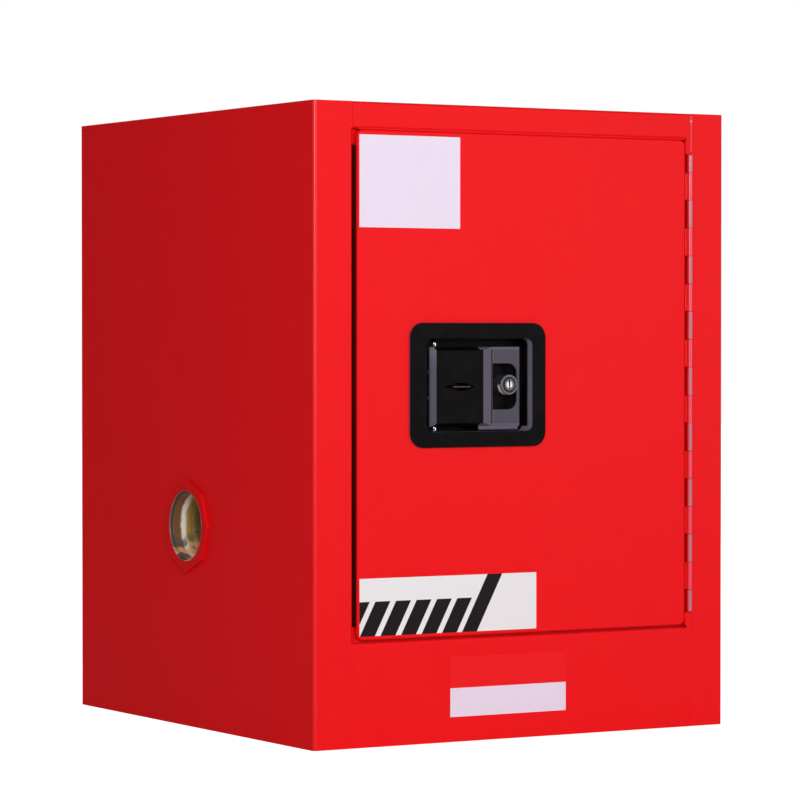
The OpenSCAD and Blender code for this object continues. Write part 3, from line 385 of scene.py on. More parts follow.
def paddleLit(place):  # painted light and shade: the left bevel lit, brighter towards the top; the right slope and the sunk plate lit, with painted shade in the crease and from the window on; a painted highlight along the plate's top and bottom rim
    faces = paddleFaces
    soft = faces["soft"]
    across = place.axis("X") - paddleLow.x
    up = place.axis("Z")
    left = 1 - across.above(faces["leftEdge"], faces["sharp"])
    rise = up.above(paddleHigh.z - faces["riseFrom"], faces["riseSoft"])
    left = left * (faces["leftTone"] + faces["leftRise"] * rise)
    crease = across.inside(*faces["crease"], soft)
    window = across.above(faces["windowEdge"], faces["windowSoft"])
    plate = across.above(faces["slope"], soft) * (1 - faces["creaseShade"] * crease)
    plate = plate * (faces["plateTone"] - faces["windowShade"] * window)
    middle = (paddleLow.z + paddleHigh.z) / 2
    offMiddle = place.math("ABSOLUTE", up - middle)
    rim = offMiddle.above(paddleHigh.z - middle - faces["rim"], faces["rimSoft"])
    rim = faces["rimTone"] * rim * across.above(faces["slope"] - faces["rimReach"], soft)
    return place.math("MAXIMUM", place.math("MAXIMUM", left, plate), rim)


# painted light on the lock: side is a painted highlight on the barrel's wall, shade its painted
# shade, and the rings' tones are painted reflections
lockTones = {
    "side": (0.95, 0.86, 0.86), "shade": (0.045, 0.04, 0.045), "bright": (0.62, 0.58, 0.6),
    "mid": (0.1, 0.09, 0.11), "dark": (0.02, 0.018, 0.02), "rings": (
        (0.0, "bright"), (0.26, "bright"), (0.4, "mid"), (0.54, "mid"), (0.6, "dark"),
        (0.74, "dark"), (0.84, "mid"), (1.0, "mid")),
    "radius": 9 * mm, "drift": 1.2 * mm, "cloud": 3 * mm, "relief": 0.12 * mm,
    "faceDepth": 1.1 * mm, "faceSoft": 0.8 * mm, "litDepth": 5.5 * mm, "litSoft": 1.5 * mm,
    "litTop": -0.5 * mm, "topSoft": 2.5 * mm,
}


def lockPlate():  # chrome with painted reflections: the face bright round the key slot, with mid and dark rings outwards; the side wall has a painted highlight on its lower, shallow part and painted shade elsewhere
    material, place = newFinish("lockChrome")
    tones = lockTones
    across = place.axis("X") - (lockLow.x + lockHigh.x) / 2
    up = place.axis("Z") - (lockLow.z + lockHigh.z) / 2
    depth = place.axis("Y") - lockLow.y
    radius = place.math("SQRT", across * across + up * up)
    cloud = place.noise(tones["cloud"], 2.0)
    face = ((radius + (cloud - 0.5) * tones["drift"]) / tones["radius"]).ramp(
        *[(at, tones[key]) for at, key in tones["rings"]])
    deep = depth.above(tones["faceDepth"], tones["faceSoft"])
    lit = ((1 - up.above(tones["litTop"], tones["topSoft"]))
           * (1 - depth.above(tones["litDepth"], tones["litSoft"])))
    wall = lit.blend(tones["shade"], tones["side"])
    return surface(
        material, place, Base_Color=deep.blend(face, wall), Metallic=0.9 - 0.7 * deep,
        Roughness=cloud.between(0.14, 0.3), Normal=cloud.bump(tones["relief"]))


gapShadeTones = {
    "tones": ((0.05, 0.003, 0.004), (0.09, 0.005, 0.006)), "cloud": 30 * mm,
    "roughness": (0.6, 0.8), "specular": 0.05,
}


def darkTrim():  # painted shade: a nearly black strip with the paint's red in it, standing in for the shade deep in the door's gap
    material, place = newFinish("darkTrim")
    cloud = place.noise(gapShadeTones["cloud"], 3.0)
    return surface(
        material, place, Base_Color=cloud.blend(*gapShadeTones["tones"]),
        Roughness=cloud.between(*gapShadeTones["roughness"]), Specular_IOR_Level=gapShadeTones["specular"])


metals = {name: metal(name, *data) for name, data in plates.items()}
finishes = {
    "red_paint": redCoat("redPowderCoat", redPaint),
    "zinc_plate": metals["zincPlate"],
    "galvanised_steel": galvanised(),
    "spring_steel": metals["springWire"],
    "nickel_plate": metals["nickelPlate"],
    "chrome": metals["chromePlate"],
    "brass": metals["plainBrass"],
    "white_vinyl": vinylSheet("whiteVinyl", vinyl["white"]),
    "black_coat": blackCoat("blackPan", pocketLit, blackPaint["wall"]),
}
byFinish = (  # finishes that go with a node and not with its slot
    (redCoat("redFlange", flangeShadePaint), ("vent_flange_left", "vent_flange_right")),
    # the knuckles' front crowns carry a painted highlight
    (redCoat("redFrameKnuckles", knucklePaint, crown["frame"]), ("hinge_frame_leaf",)),
    (redCoat("redDoorKnuckles", knucklePaint, crown["door"]), ("hinge_door_leaf",)),
    (blackCoat("blackPaddle", paddleLit, blackPaint["lit"]), ("paddle",)),
    (vinylSheet("stripedVinyl", vinyl["paper"], stripedPrint), ("lower_decal",)),
    (vinylSheet("bandedVinyl", vinyl["white"], bandPrint), ("sill_decal",)),
    # dark steel; on the two pins it is painted shade where they show in gaps
    (metals["darkSteel"], ("padlock_staple", "hinge_pin", "paddle_pin")),
    (lockPlate(), ("lock_barrel", "key_plug")),
    (yellowZinc(), ("vent_collar_left", "vent_collar_right", "flame_screens_left",
                    "flame_screens_right")),
)
special = {node: finish for finish, names in byFinish for node in names}
print("finishes made:", len(finishes) + len(byFinish))


def finishOf(node):
    return special.get(node, finishes[slotOf[node]])


def inScene(name, mesh):
    thing = bpy.data.objects.new(name, mesh)
    bpy.context.scene.collection.objects.link(thing)
    return thing


def settled(thing):  # applies what the modifiers do
    graph = bpy.context.evaluated_depsgraph_get()
    mesh = bpy.data.meshes.new_from_object(thing.evaluated_get(graph), depsgraph=graph)
    thing.modifiers.clear()
    thing.data = mesh
    return thing


def inPlaceOf(thing, node):
    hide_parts(node)
    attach(thing, bodyOf[node])
    return thing


def camel(node):
    first, *rest = node.split("_")
    return first + "".join(word.capitalize() for word in rest)


# Every sheet and turned part gets the small round that a real edge has
edgeWidths = {  # the width of the round and the nodes that have it; the rest are plain panels
    "panel": (0.35 * mm, ()),
    "pressed": (0.5 * mm, ("paddle", "vent_flange_left", "vent_flange_right")),
    "drawn": (0.95 * mm, ("latch_pan",)),
    "bent": (0.55 * mm, ("left_side_panel", "right_side_panel", "top_panel", "front_sill",
                         "door_skin")),
    "turned": (0.4 * mm, ("vent_collar_left", "vent_collar_right", "lock_barrel", "key_plug",
                          "ground_stud", "ground_nut", "vent_locknut_left",
                          "vent_locknut_right", "latch_bolt", "lock_cam", "padlock_staple")),
    "thin": (0.08 * mm, ("upper_decal", "lower_decal", "sill_decal")),
}
edgeStyle = {"segments": 2, "fromAngle": 35, "flatWeight": 90}
mended = {"merge": 0.002 * mm, "flatAngle": 0.6}  # joins the CAD mesh's loose triangles
folds = {"radius": 3 * mm, "segments": 6, "nodes": ("left_side_panel", "right_side_panel")}
plainNodes = ("floor_supports", "back_spacers", "hinge_pin")
rebuiltNodes = ("flame_screens_left", "flame_screens_right", "cover_screws", "strike_screws",
                "cam_screw", "bolt_spring", "paddle_pin")


def foldEdges(work, node):  # the sheet's front outer edges
    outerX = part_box(node)[0 if node.startswith("left") else 1].x

    def atFold(vert):
        return abs(vert.co.x - outerX) < 0.01 * mm and abs(vert.co.y - faceY) < 0.01 * mm

    return [edge for edge in work.edges if all(atFold(vert) for vert in edge.verts)]


def softened(node):
    mesh = nodes[node].data.copy()
    work = bmesh.new()
    work.from_mesh(mesh)
    bmesh.ops.remove_doubles(work, verts=work.verts, dist=mended["merge"])
    bmesh.ops.dissolve_limit(work, angle_limit=math.radians(mended["flatAngle"]),
                             verts=work.verts, edges=work.edges)
    if node in folds["nodes"]:
        bmesh.ops.bevel(work, geom=foldEdges(work, node), offset=folds["radius"],
                        segments=folds["segments"], profile=0.5, affect="EDGES")
    work.to_mesh(mesh)
    work.free()
    mesh.materials.clear()
    mesh.materials.append(finishOf(node))
    for face in mesh.polygons:
        face.material_index = 0
        face.use_smooth = True
    thing = inScene(camel(node), mesh)
    bevel = thing.modifiers.new("edges", "BEVEL")
    bevel.width = next((width for width, names in edgeWidths.values() if node in names),
                       edgeWidths["panel"][0])
    bevel.segments = edgeStyle["segments"]
    bevel.limit_method = "ANGLE"
    bevel.angle_limit = math.radians(edgeStyle["fromAngle"])
    thing.modifiers.new("flats", "WEIGHTED_NORMAL").weight = edgeStyle["flatWeight"]
    return inPlaceOf(settled(thing), node)


for node in nodes:
    if node in plainNodes:
        nodes[node].data.materials.clear()
        nodes[node].data.materials.append(finishOf(node))
    elif node not in rebuiltNodes:
        softened(node)
print("edges softened")


# Pieces grown by geometry nodes: each recipe is a tree with named sizes
def newRecipe(name, sizes):
    tree = bpy.data.node_groups.new(name, "GeometryNodeTree")
    for way in ("OUTPUT", "INPUT"):
        tree.interface.new_socket("Geometry", in_out=way, socket_type="NodeSocketGeometry")
    for key, value in sizes.items():
        kind = "NodeSocketInt" if isinstance(value, int) else "NodeSocketFloat"
        tree.interface.new_socket(key, in_out="INPUT", socket_type=kind)
    group = tree.nodes.new("NodeGroupInput")
    return tree, {key: Wire(tree, group.outputs[key]) for key in ("Geometry", *sizes)}


def onPoints(start, piece, turn=None):  # one copy of the piece on each base point
    points = start.node("GeometryNodeMeshToPoints", None, {"Mesh": start})
    inputs = {"Points": points, "Instance": piece}
    if turn is not None:
        inputs["Rotation"] = turn
    return start.node("GeometryNodeInstanceOnPoints", None, inputs)


def closeRecipe(shape, material):
    whole = shape.node("GeometryNodeRealizeInstances", None, {"Geometry": shape})
    whole = shape.node("GeometryNodeSetMaterial", None, {"Geometry": whole, "Material": material})
    shape.node("NodeGroupOutput", None, {"Geometry": whole})


def cleaned(mesh):  # seams and poles closed, faces outwards
    work = bmesh.new()
    work.from_mesh(mesh)
    bmesh.ops.remove_doubles(work, verts=work.verts, dist=0.001 * mm)
    bmesh.ops.recalc_face_normals(work, faces=work.faces)
    work.to_mesh(mesh)
    work.free()


def grown(name, tree, sizes, base, node):
    # runs the recipe on the base points and puts the piece in the node's place
    mesh = bpy.data.meshes.new(name)
    mesh.from_pydata(base, [], [])
    thing = inScene(name, mesh)
    recipe = thing.modifiers.new(name, "NODES")
    recipe.node_group = tree
    for item in tree.interface.items_tree:
        if item.in_out == "INPUT" and item.name in sizes:
            recipe[item.identifier] = sizes[item.name]
    settled(thing)
    cleaned(thing.data)
    return inPlaceOf(thing, node)


def xyz(wire, x=0.0, y=0.0, z=0.0):
    return wire.node("ShaderNodeCombineXYZ", None, {0: x, 1: y, 2: z})


def circle(wire, resolution, radius):
    return wire.node("GeometryNodeCurvePrimitiveCircle", None, {
        "Resolution": resolution, "Radius": radius})


headShape = {  # shares of the head's radius and height, and how finely it is drawn
    "skirt": 0.8, "power": 0.6, "armLength": 1.15, "armWidth": 0.24, "armDepth": 1.1,
    "around": 41, "up": 21, "shankSides": 24, "merge": 0.002 * mm,
}


def screwRecipe(sizes):
    # cross-recess pan heads on a shank, standing up along +Z, each turned its own way
    tree, size = newRecipe("panHeadScrews", sizes)
    start = size["Geometry"]
    radius, height = size["headRadius"], size["headHeight"]
    sheet = start.node("GeometryNodeMeshGrid", None, {
        "Size X": 1.0, "Size Y": 1.0, "Vertices X": headShape["around"],
        "Vertices Y": headShape["up"]})
    spot = start.node("GeometryNodeInputPosition")
    turn = (spot.axis("X") + 0.5) * math.tau
    along = spot.axis("Y") + 0.5
    skirt = headShape["skirt"]
    rise = along.math("MINIMUM", along / skirt, 1.0) * (math.pi / 2)
    reach = along.math("MINIMUM", rise.math("SINE", rise), (1 - along) / (1 - skirt)) * radius
    crest = rise.math("MAXIMUM", rise.math("COSINE", rise), 0.0)
    crest = crest.math("POWER", crest, headShape["power"]) * height
    head = start.node("GeometryNodeSetPosition", None, {"Geometry": sheet, "Position": xyz(
        start, reach * turn.math("COSINE", turn), reach * turn.math("SINE", turn), crest)})
    head = start.node("GeometryNodeMergeByDistance", None, {
        "Geometry": head, "Distance": headShape["merge"]})
    long, wide, deep = (radius * headShape["armLength"], radius * headShape["armWidth"],
                        height * headShape["armDepth"])
    arms = start.node("GeometryNodeJoinGeometry", None, {"Geometry": [
        start.node("GeometryNodeMeshCube", None, {"Size": xyz(start, *block)})
        for block in ((long, wide, deep), (wide, long, deep))]})
    arms = start.node("GeometryNodeTransform", None, {
        "Geometry": arms, "Translation": xyz(start, z=height)})
    cut = start.node("GeometryNodeMeshBoolean", {"operation": "DIFFERENCE"}, {
        "Mesh 1": head, "Mesh 2": arms})
    shank = start.node("GeometryNodeMeshCylinder", None, {
        "Vertices": headShape["shankSides"], "Radius": size["shankRadius"],
        "Depth": size["shankLength"]})
    shank = start.node("GeometryNodeTransform", None, {
        "Geometry": shank, "Translation": xyz(start, z=size["shankLength"] * -0.5)})
    screw = start.node("GeometryNodeJoinGeometry", None, {"Geometry": [cut, shank]})
    spin = start.node("FunctionNodeRandomValue", {"data_type": "FLOAT"}, {
        "Max": math.pi / 2, "Seed": size["seed"]}, 1)
    facing = start.node("FunctionNodeRotateRotation", {"rotation_space": "LOCAL"}, {
        "Rotation": xyz(start, size["tiltX"], size["tiltY"]), "Rotate By": xyz(start, z=spin)})
    closeRecipe(onPoints(start, screw, facing), finishes["zinc_plate"])
    return tree


screwSizes = {
    "headRadius": 3.8 * mm, "headHeight": 1.2 * mm, "shankRadius": 2 * mm,
    "shankLength": 4 * mm, "tiltX": 0.0, "tiltY": 0.0, "seed": 3,
}
screws = {  # head radius, head height, shank radius, and the way the heads face
    "cover_screws": (3.8 * mm, 1.2 * mm, 2 * mm, "Y"),
    "strike_screws": (3.6 * mm, 1.0 * mm, 2 * mm, "X"),
    "cam_screw": (None, 1.6 * mm, 1.5 * mm, "Y"),  # one screw, as wide as its node
}
screwTree = screwRecipe(screwSizes)


def addScrews(node):
    low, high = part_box(node)
    radius, height, shank, letter = screws[node]
    side = "XYZ".index(letter)
    if radius is None:
        radius = min(high[k] - low[k] for k in range(3) if k != side) / 2
    spots = []
    for x in sorted({low.x + radius, high.x - radius}):
        for y in sorted({low.y + radius, high.y - radius}):
            for z in sorted({low.z + radius, high.z - radius}):
                spot = [x, y, z]
                spot[side] = high[side] - height
                if all(math.dist(spot, other) > 1 * mm for other in spots):
                    spots.append(spot)
    grown(camel(node), screwTree, {
        **screwSizes, "headRadius": radius, "headHeight": height, "shankRadius": shank,
        "shankLength": high[side] - low[side] - height,
        "tiltX": -math.pi / 2 if letter == "Y" else 0.0,
        "tiltY": math.pi / 2 if letter == "X" else 0.0}, spots, node)


for node in screws:
    addScrews(node)
print("screws grown")


screenSizes = {
    "radius": 28.4 * mm, "pitch": 2.4 * mm, "wires": 23, "wireRadius": 0.28 * mm,
    "weave": 0.2 * mm, "rimRadius": 0.5 * mm,
}
screenSides = {"wire": 5, "rim": 10, "around": 72, "stepsPerWire": 3}  # how fine it is drawn


def screenRecipe(sizes):  # two discs of woven wire with a rim, across the port
    tree, size = newRecipe("wovenScreens", sizes)
    start = size["Geometry"]
    radius, pitch, rimRadius = size["radius"], size["pitch"], size["rimRadius"]
    line = start.node("GeometryNodeMeshLine", None, {
        "Count": size["wires"], "Start Location": xyz(start, y=(size["wires"] - 1) * pitch * -0.5),
        "Offset": xyz(start, y=pitch)})
    row = start.node("GeometryNodeInputPosition").axis("Y")
    half = row.math("SQRT", row.math("MAXIMUM", radius * radius - row * row, 0.0))
    wire = start.node("GeometryNodeCurvePrimitiveLine", None, {
        "Start": (-1, 0, 0), "End": (1, 0, 0)})
    rows = start.node("GeometryNodeInstanceOnPoints", None, {
        "Points": start.node("GeometryNodeMeshToPoints", None, {"Mesh": line}),
        "Instance": wire, "Scale": xyz(start, half, 1.0, 1.0)})
    rows = start.node("GeometryNodeRealizeInstances", None, {"Geometry": rows})
    rows = start.node("GeometryNodeResampleCurve", {"mode": "LENGTH"}, {
        "Curve": rows, "Length": pitch / screenSides["stepsPerWire"]})
    spot = start.node("GeometryNodeInputPosition")
    wave = [spot.axis(letter) * math.pi / pitch for letter in "XY"]
    weave = wave[0].math("SINE", wave[0]) * wave[1].math("SINE", wave[1]) * size["weave"]
    thread = circle(start, screenSides["wire"], size["wireRadius"])
    layers = [start.node("GeometryNodeCurveToMesh", None, {
        "Curve": circle(start, screenSides["around"], radius - rimRadius),
        "Profile Curve": circle(start, screenSides["rim"], rimRadius)})]
    for way, spin in ((1.0, 0.0), (-1.0, math.pi / 2)):
        bent = start.node("GeometryNodeSetPosition", None, {
            "Geometry": rows, "Offset": xyz(start, z=weave * way)})
        layer = start.node("GeometryNodeCurveToMesh", None, {
            "Curve": bent, "Profile Curve": thread, "Fill Caps": True})
        layers.append(start.node("GeometryNodeTransform", None, {
            "Geometry": layer, "Rotation": (0, 0, spin)}))
    disc = start.node("GeometryNodeJoinGeometry", None, {"Geometry": layers})
    closeRecipe(onPoints(start, disc, xyz(start, y=math.pi / 2)), special["vent_collar_left"])
    return tree


screenTree = screenRecipe(screenSizes)
for node in ("flame_screens_left", "flame_screens_right"):
    low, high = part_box(node)
    middle = (low + high) / 2
    inset = screenSizes["rimRadius"]
    grown(camel(node), screenTree, {**screenSizes, "radius": (high.z - low.z) / 2},
          [(low.x + inset, middle.y, middle.z), (high.x - inset, middle.y, middle.z)], node)
print("screens woven")


def springRecipe(sizes):  # a wound wire with closed end turns, from the first point along +X
    tree, size = newRecipe("woundSpring", sizes)
    start = size["Geometry"]
    wire, turns, radius = size["wireRadius"] * 2, size["turns"], size["coilRadius"]
    line = start.node("GeometryNodeCurvePrimitiveLine", None, {
        "Start": (0, 0, 0), "End": (1, 0, 0)})
    line = start.node("GeometryNodeResampleCurve", {"mode": "COUNT"}, {
        "Curve": line, "Count": size["points"]})
    wound = start.node("GeometryNodeSplineParameter") * turns
    firstTurn = wire * wound.math("MINIMUM", wound, 1.0)
    lastTurn = wire * wound.math("MAXIMUM", wound - (turns - 1), 0.0)
    opened = wound.math("ADD", (wound - 1) / (turns - 2), 0.0, 0.0, True)
    along = firstTurn + lastTurn + (size["length"] - 3 * wire) * opened
    turn = wound * math.tau
    coil = start.node("GeometryNodeSetPosition", None, {"Geometry": line, "Position": xyz(
        start, along + wire * 0.5, radius * turn.math("COSINE", turn),
        radius * turn.math("SINE", turn))})
    coil = start.node("GeometryNodeCurveToMesh", None, {
        "Curve": coil, "Profile Curve": circle(start, 10, size["wireRadius"]),
        "Fill Caps": True})
    closeRecipe(onPoints(start, coil), finishes["spring_steel"])
    return tree


low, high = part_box("bolt_spring")
springWire = 0.55 * mm
springSizes = {
    "wireRadius": springWire, "coilRadius": (high.z - low.z) / 2 - springWire,
    "length": high.x - low.x, "turns": 10, "points": 361,
}
spring = grown("boltSpring", springRecipe(springSizes), springSizes,
               [(low.x, (low.y + high.y) / 2, (low.z + high.z) / 2)], "bolt_spring")
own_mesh(spring)
print("spring wound")


# Turned pieces: a profile of radius and height, spun about an axis through a spot
def turned(name, profile, spot, letter, finish, body, sides=48, node=None):
    way = "XYZ".index(letter)
    others = [k for k in range(3) if k != way]
    points, faces = [], []
    for radius, height in profile:
        for k in range(sides):
            angle = math.tau * k / sides
            point = list(spot)
            point[way] = height
            point[others[0]] += radius * math.cos(angle)
            point[others[1]] += radius * math.sin(angle)
            points.append(point)
    for ring in range(len(profile) - 1):
        for k in range(sides):
            a, b = ring * sides + k, ring * sides + (k + 1) % sides
            faces.append((a, b, b + sides, a + sides))
    mesh = bpy.data.meshes.new(name)
    mesh.from_pydata(points, [], faces)
    cleaned(mesh)
    mesh.materials.append(finish)
    for face in mesh.polygons:
        face.use_smooth = True
    thing = inScene(name, mesh)
    if node:
        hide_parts(node)
    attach(thing, body)
    return thing


def arc(radius, height, reach, lift, steps=8):  # a quarter round towards the axis
    points = []
    for k in range(steps + 1):
        turn = math.pi / 2 * k / steps
        points.append((radius - reach * (1 - math.cos(turn)), height + lift * math.sin(turn)))
    return points


# The paddle's pin: a dark shaft, painted shade, with a bright bead where it leaves the pocket's
# wall at each end
pin = {
    "radius": 2 * mm, "bead": 2.2 * mm, "beadLength": 4 * mm, "round": 0.9 * mm,
    "shoulder": 0.7 * mm, "clear": 0.15 * mm, "sunk": 0.02 * mm,
}
low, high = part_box("paddle_pin")
pinSpot = ((low.x + high.x) / 2, (low.y + high.y) / 2, 0)
turned("paddlePin", [(0, low.z), (pin["radius"], low.z), (pin["radius"], high.z), (0, high.z)],
       pinSpot, "Z", special["paddle_pin"], "door", node="paddle_pin")
for name, near, way in (("pinBeadTop", paddleHigh.z + pin["clear"], 1),
                        ("pinBeadFoot", paddleLow.z - pin["clear"], -1)):
    far = near + way * pin["beadLength"]
    lift = way * pin["round"]
    nearRound = arc(pin["bead"], near + lift, pin["shoulder"], -lift)
    farRound = arc(pin["bead"], far - lift, pin["shoulder"], lift)
    root = pin["radius"] - pin["sunk"]
    turned(name, [(root, near), *reversed(nearRound), *farRound, (root, far)], pinSpot, "Z",
           finishes["chrome"], "door")
print("pin turned")


# The port's metal lip, lining the flange from the collar's mouth to its outer face
lip = {
    "outer": 32.2 * mm, "inner": 31.5 * mm, "short": 0.15 * mm, "clear": 0.02 * mm,
    "innerChamfer": (0.25 * mm, 0.3 * mm), "outerChamfer": (0.1 * mm, 0.2 * mm), "sides": 96,
}
for side, name in ((-1, "left"), (1, "right")):
    low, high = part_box("vent_collar_" + name)
    flangeLow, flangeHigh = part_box("vent_flange_" + name)
    near = side * (mouthX + lip["clear"])
    far = (flangeLow.x if side < 0 else flangeHigh.x) - side * lip["short"]
    profile = [
        (lip["inner"], near),
        (lip["inner"], far - side * lip["innerChamfer"][1]),
        (lip["inner"] + lip["innerChamfer"][0], far),
        (lip["outer"] - lip["outerChamfer"][0], far),
        (lip["outer"], far - side * lip["outerChamfer"][1]),
        (lip["outer"], near),
        (lip["inner"], near),
    ]
    turned("portLip" + name.capitalize(), profile, (0, (low.y + high.y) / 2, (low.z + high.z) / 2),
           "X", special["vent_collar_" + name], "cabinet", sides=lip["sides"])
print("port lips turned")


# Thin strips that close or line the joints between sheets, each with rounded long edges
def strip(name, low, high, finish, body, rounding):
    work = bmesh.new()
    corners = [[high[k] if which >> k & 1 else low[k] for k in range(3)] for which in range(8)]
    verts = [work.verts.new(corner) for corner in corners]
    for face in ((0, 1, 3, 2), (4, 6, 7, 5), (0, 4, 5, 1), (2, 3, 7, 6), (0, 2, 6, 4),
                 (1, 5, 7, 3)):
        work.faces.new([verts[k] for k in face])
    bmesh.ops.bevel(work, geom=work.edges[:], offset=rounding, segments=3, profile=0.5,
                    affect="EDGES")
    bmesh.ops.recalc_face_normals(work, faces=work.faces)
    mesh = bpy.data.meshes.new(name)
    work.to_mesh(mesh)
    work.free()
    mesh.materials.append(finish)
    for face in mesh.polygons:
        face.use_smooth = True
    thing = inScene(name, mesh)
    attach(thing, body)
    return thing


seal = {  # closes the line over the door and the ends of the gap beside the hinge
    "gap": 0.08 * mm, "sunk": 0.03 * mm, "deep": 3 * mm, "headerZ": 537 * mm, "lap": 0.3 * mm,
    "flapLeft": 175.2 * mm, "doorInset": 1 * mm, "topFlapFoot": 523 * mm,
    "footFlapHead": 104.8 * mm, "rounding": 0.02 * mm,
}
nearY, backY = faceY + seal["sunk"], faceY + seal["deep"]
besideDoor = doorHigh.x + seal["lap"]
seals = {
    "headerSeal": ((doorLow.x + seal["doorInset"], nearY, doorHigh.z + seal["gap"]),
                   (seal["flapLeft"], backY, seal["headerZ"] + seal["lap"])),
    "flapSealTop": ((besideDoor, nearY, seal["topFlapFoot"]),
                    (seal["flapLeft"], backY, seal["headerZ"])),
    "flapSealFoot": ((besideDoor, nearY, doorLow.z),
                     (seal["flapLeft"], backY, seal["footFlapHead"])),
}
for name, (low, high) in seals.items():
    strip(name, low, high, finishes["red_paint"], "cabinet", seal["rounding"])

seam = {  # filler in the joint between the sill and each side
    "width": 0.3 * mm, "lap": 0.02 * mm, "sunk": 0.12 * mm, "deep": 1 * mm, "foot": 0.6 * mm,
    "head": 0.5 * mm, "rounding": 0.05 * mm,
}
for name, x in (("seamFillRight", sillHigh.x), ("seamFillLeft", sillLow.x - seam["width"])):
    strip(name, (x - seam["lap"], faceY + seam["sunk"], seam["foot"]),
          (x + seam["width"] + seam["lap"], faceY + seam["deep"], sillHigh.z - seam["head"]),
          finishes["red_paint"], "cabinet", seam["rounding"])

bead = {  # the bead at the header's joint, its paler red a painted highlight, with a drop near its top
    "left": 179.0 * mm, "right": 180.8 * mm, "foot": 525 * mm, "head": 558.6 * mm,
    "out": 0.3 * mm, "deep": 0.6 * mm, "rounding": 0.45 * mm,
}
# painted highlight: a paler, pinker red than the body
beadHighlightPaint = {**redPaint, "colour": (0.74, 0.05, 0.07), "deep": (0.68, 0.045, 0.06), "gloss": 0.4,
             "specular": 0.3}
strip("seamBead", (bead["left"], faceY - bead["out"], bead["foot"]),
      (bead["right"], faceY + bead["deep"], bead["head"]), redCoat("redSeamBead", beadHighlightPaint),
      "cabinet", bead["rounding"])
spot = {"x": 179.7 * mm, "z": 553 * mm, "radius": 1.5 * mm, "out": 0.8 * mm, "sunk": 0.1 * mm}
# painted highlight: the drop's pale pink
spotHighlightPaint = {**knucklePaint, "colour": (0.75, 0.2, 0.24), "deep": (0.7, 0.18, 0.22)}
turned("seamSpot", arc(spot["radius"], faceY + spot["sunk"], spot["radius"], -spot["out"]),
       (spot["x"], 0, spot["z"]), "Y", redCoat("redSeamSpot", spotHighlightPaint), "cabinet")

shadeStrip = {  # painted shade: the dark strip along the door's free edge, in the gap
    "sunk": 2.6 * mm, "deep": 15 * mm, "foot": 11.5 * mm, "head": 13.5 * mm,
    "thick": 0.35 * mm, "clear": 0.02 * mm, "rounding": 0.1 * mm,
}
strip("doorEdgeTrim",
      (doorLow.x - shadeStrip["thick"], faceY + shadeStrip["sunk"], doorLow.z + shadeStrip["foot"]),
      (doorLow.x - shadeStrip["clear"], faceY + shadeStrip["deep"], doorHigh.z - shadeStrip["head"]), darkTrim(),
      "door", shadeStrip["rounding"])

footLip = {  # the turned-in lip under the paddle's finger plate; it wears the paddle's finish, which paints a highlight along it
    "left": 49 * mm, "right": 90.5 * mm, "drop": 3.3 * mm, "over": 0.5 * mm, "near": 4.4 * mm,
    "back": 6.6 * mm, "rounding": 0.9 * mm,
}
strip("paddleFootLip",
      (paddleLow.x + footLip["left"], faceY + footLip["near"], paddleLow.z - footLip["drop"]),
      (paddleLow.x + footLip["right"], faceY + footLip["back"], paddleLow.z + footLip["over"]),
      special["paddle"], "paddle", footLip["rounding"])
print("strips laid")


# Stage, light and camera
stageSettings = {
    "light": 0.26, "gloss": 0.05, "floor": (0.95, 0.95, 0.95), "floorInGloss": (0.2, 0.2, 0.2),
    "glow": 0.86, "size": 9, "height": -0.5 * mm,
}


def rays(wire, *names):  # what kind of ray sees the stage
    outputs = wire.node("ShaderNodeLightPath").socket.node.outputs
    return [Wire(wire.tree, outputs[name]) for name in names]


def stageFloor():
    material, place = newFinish("paleFloor")
    seen, gloss = rays(place, "Is Camera Ray", "Is Glossy Ray")
    tone = gloss.blend(stageSettings["floor"], stageSettings["floorInGloss"])
    diffuse = place.node("ShaderNodeBsdfDiffuse", None, {"Color": tone})
    glow = place.node("ShaderNodeEmission", None, {
        "Color": (1, 1, 1), "Strength": stageSettings["glow"] * seen})
    both = place.node("ShaderNodeAddShader", None, {0: diffuse, 1: glow})
    place.node("ShaderNodeOutputMaterial", None, {"Surface": both})
    half, z = stageSettings["size"], stageSettings["height"]
    mesh = bpy.data.meshes.new("floor")
    mesh.from_pydata([(-half, -half, z), (half, -half, z), (half, half, z), (-half, half, z)],
                     [], [(0, 1, 2, 3)])
    mesh.materials.append(material)
    inScene("floor", mesh)


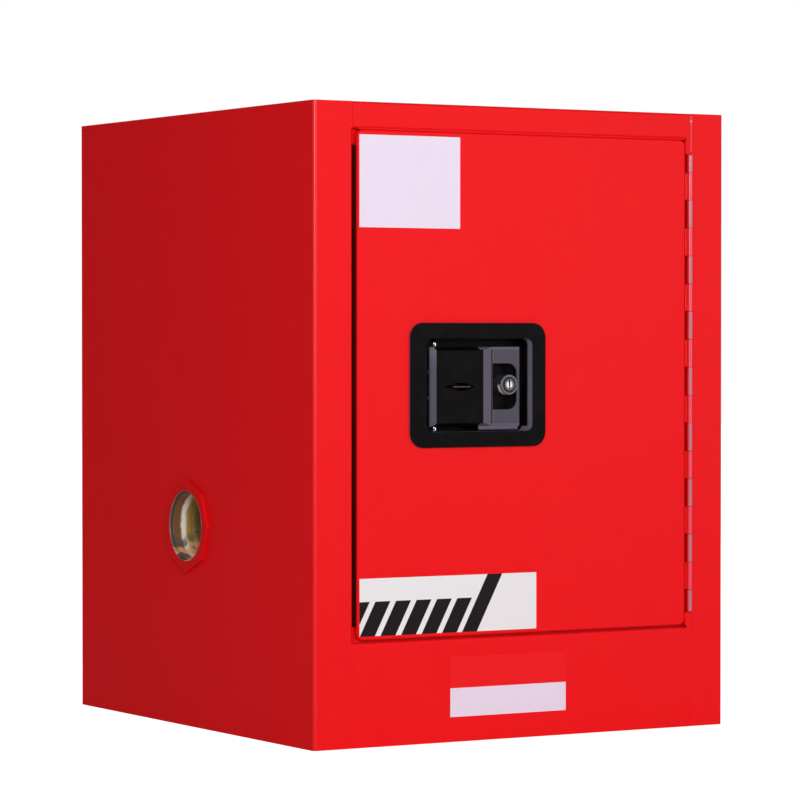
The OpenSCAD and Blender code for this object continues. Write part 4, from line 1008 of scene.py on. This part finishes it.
def studioWorld():
    world = bpy.data.worlds.new("paleStudio")
    bpy.context.scene.world = world
    world.use_nodes = True
    world.node_tree.nodes.clear()
    start = Wire(world.node_tree)
    seen, gloss, through = rays(start, "Is Camera Ray", "Is Glossy Ray", "Is Transmission Ray")
    light = stageSettings["light"]
    strength = light + (1 - light) * (seen + through) + (stageSettings["gloss"] - light) * gloss
    shade = start.node("ShaderNodeBackground", None, {"Color": (1, 1, 1), "Strength": strength})
    start.node("ShaderNodeOutputWorld", None, {"Surface": shade})


lamps = {
    "frontKey": {"place": (-1.55, -2.85, 1.15), "aim": (0, 0, 0.3), "size": 1.1, "power": 59,
                 "tint": (1, 1, 1)},
    "frontCard": {"place": (2.0, -3.3, 0.9), "aim": (0, 0, 0.3), "size": 2.4, "power": 36,
                  "tint": (1, 1, 1)},
    "rightRim": {"place": (2.6, 1.2, 1.0), "aim": (0.2, 0, 0.3), "size": 1.6, "power": 22,
                 "tint": (0.86, 0.8, 1.0)},
}


def addLamps():
    for name, data in lamps.items():
        lamp = bpy.data.lights.new(name, "AREA")
        lamp.shape = "SQUARE"
        lamp.size = data["size"]
        lamp.energy = data["power"]
        lamp.color = data["tint"]
        thing = bpy.data.objects.new(name, lamp)
        thing.location = data["place"]
        aim = Vector(data["aim"]) - thing.location
        thing.rotation_euler = aim.to_track_quat("-Z", "Y").to_euler()
        bpy.context.scene.collection.objects.link(thing)


view = {
    "place": (-1.72445, -2.93368, 0.35687), "turn": (88.98886, 0.0, -30.54742),
    "lens": 162.278, "sensor": 36, "farClip": 50,
}


def addCamera():
    camera = bpy.data.cameras.new("photoView")
    camera.lens = view["lens"]
    camera.sensor_width = view["sensor"]
    camera.clip_end = view["farClip"]
    thing = bpy.data.objects.new("photoView", camera)
    thing.location = view["place"]
    thing.rotation_euler = [math.radians(angle) for angle in view["turn"]]
    bpy.context.scene.collection.objects.link(thing)
    bpy.context.scene.camera = thing


stageFloor()
studioWorld()
addLamps()
addCamera()
bpy.context.scene.view_settings.view_transform = "Standard"
print("stage, light and camera set")
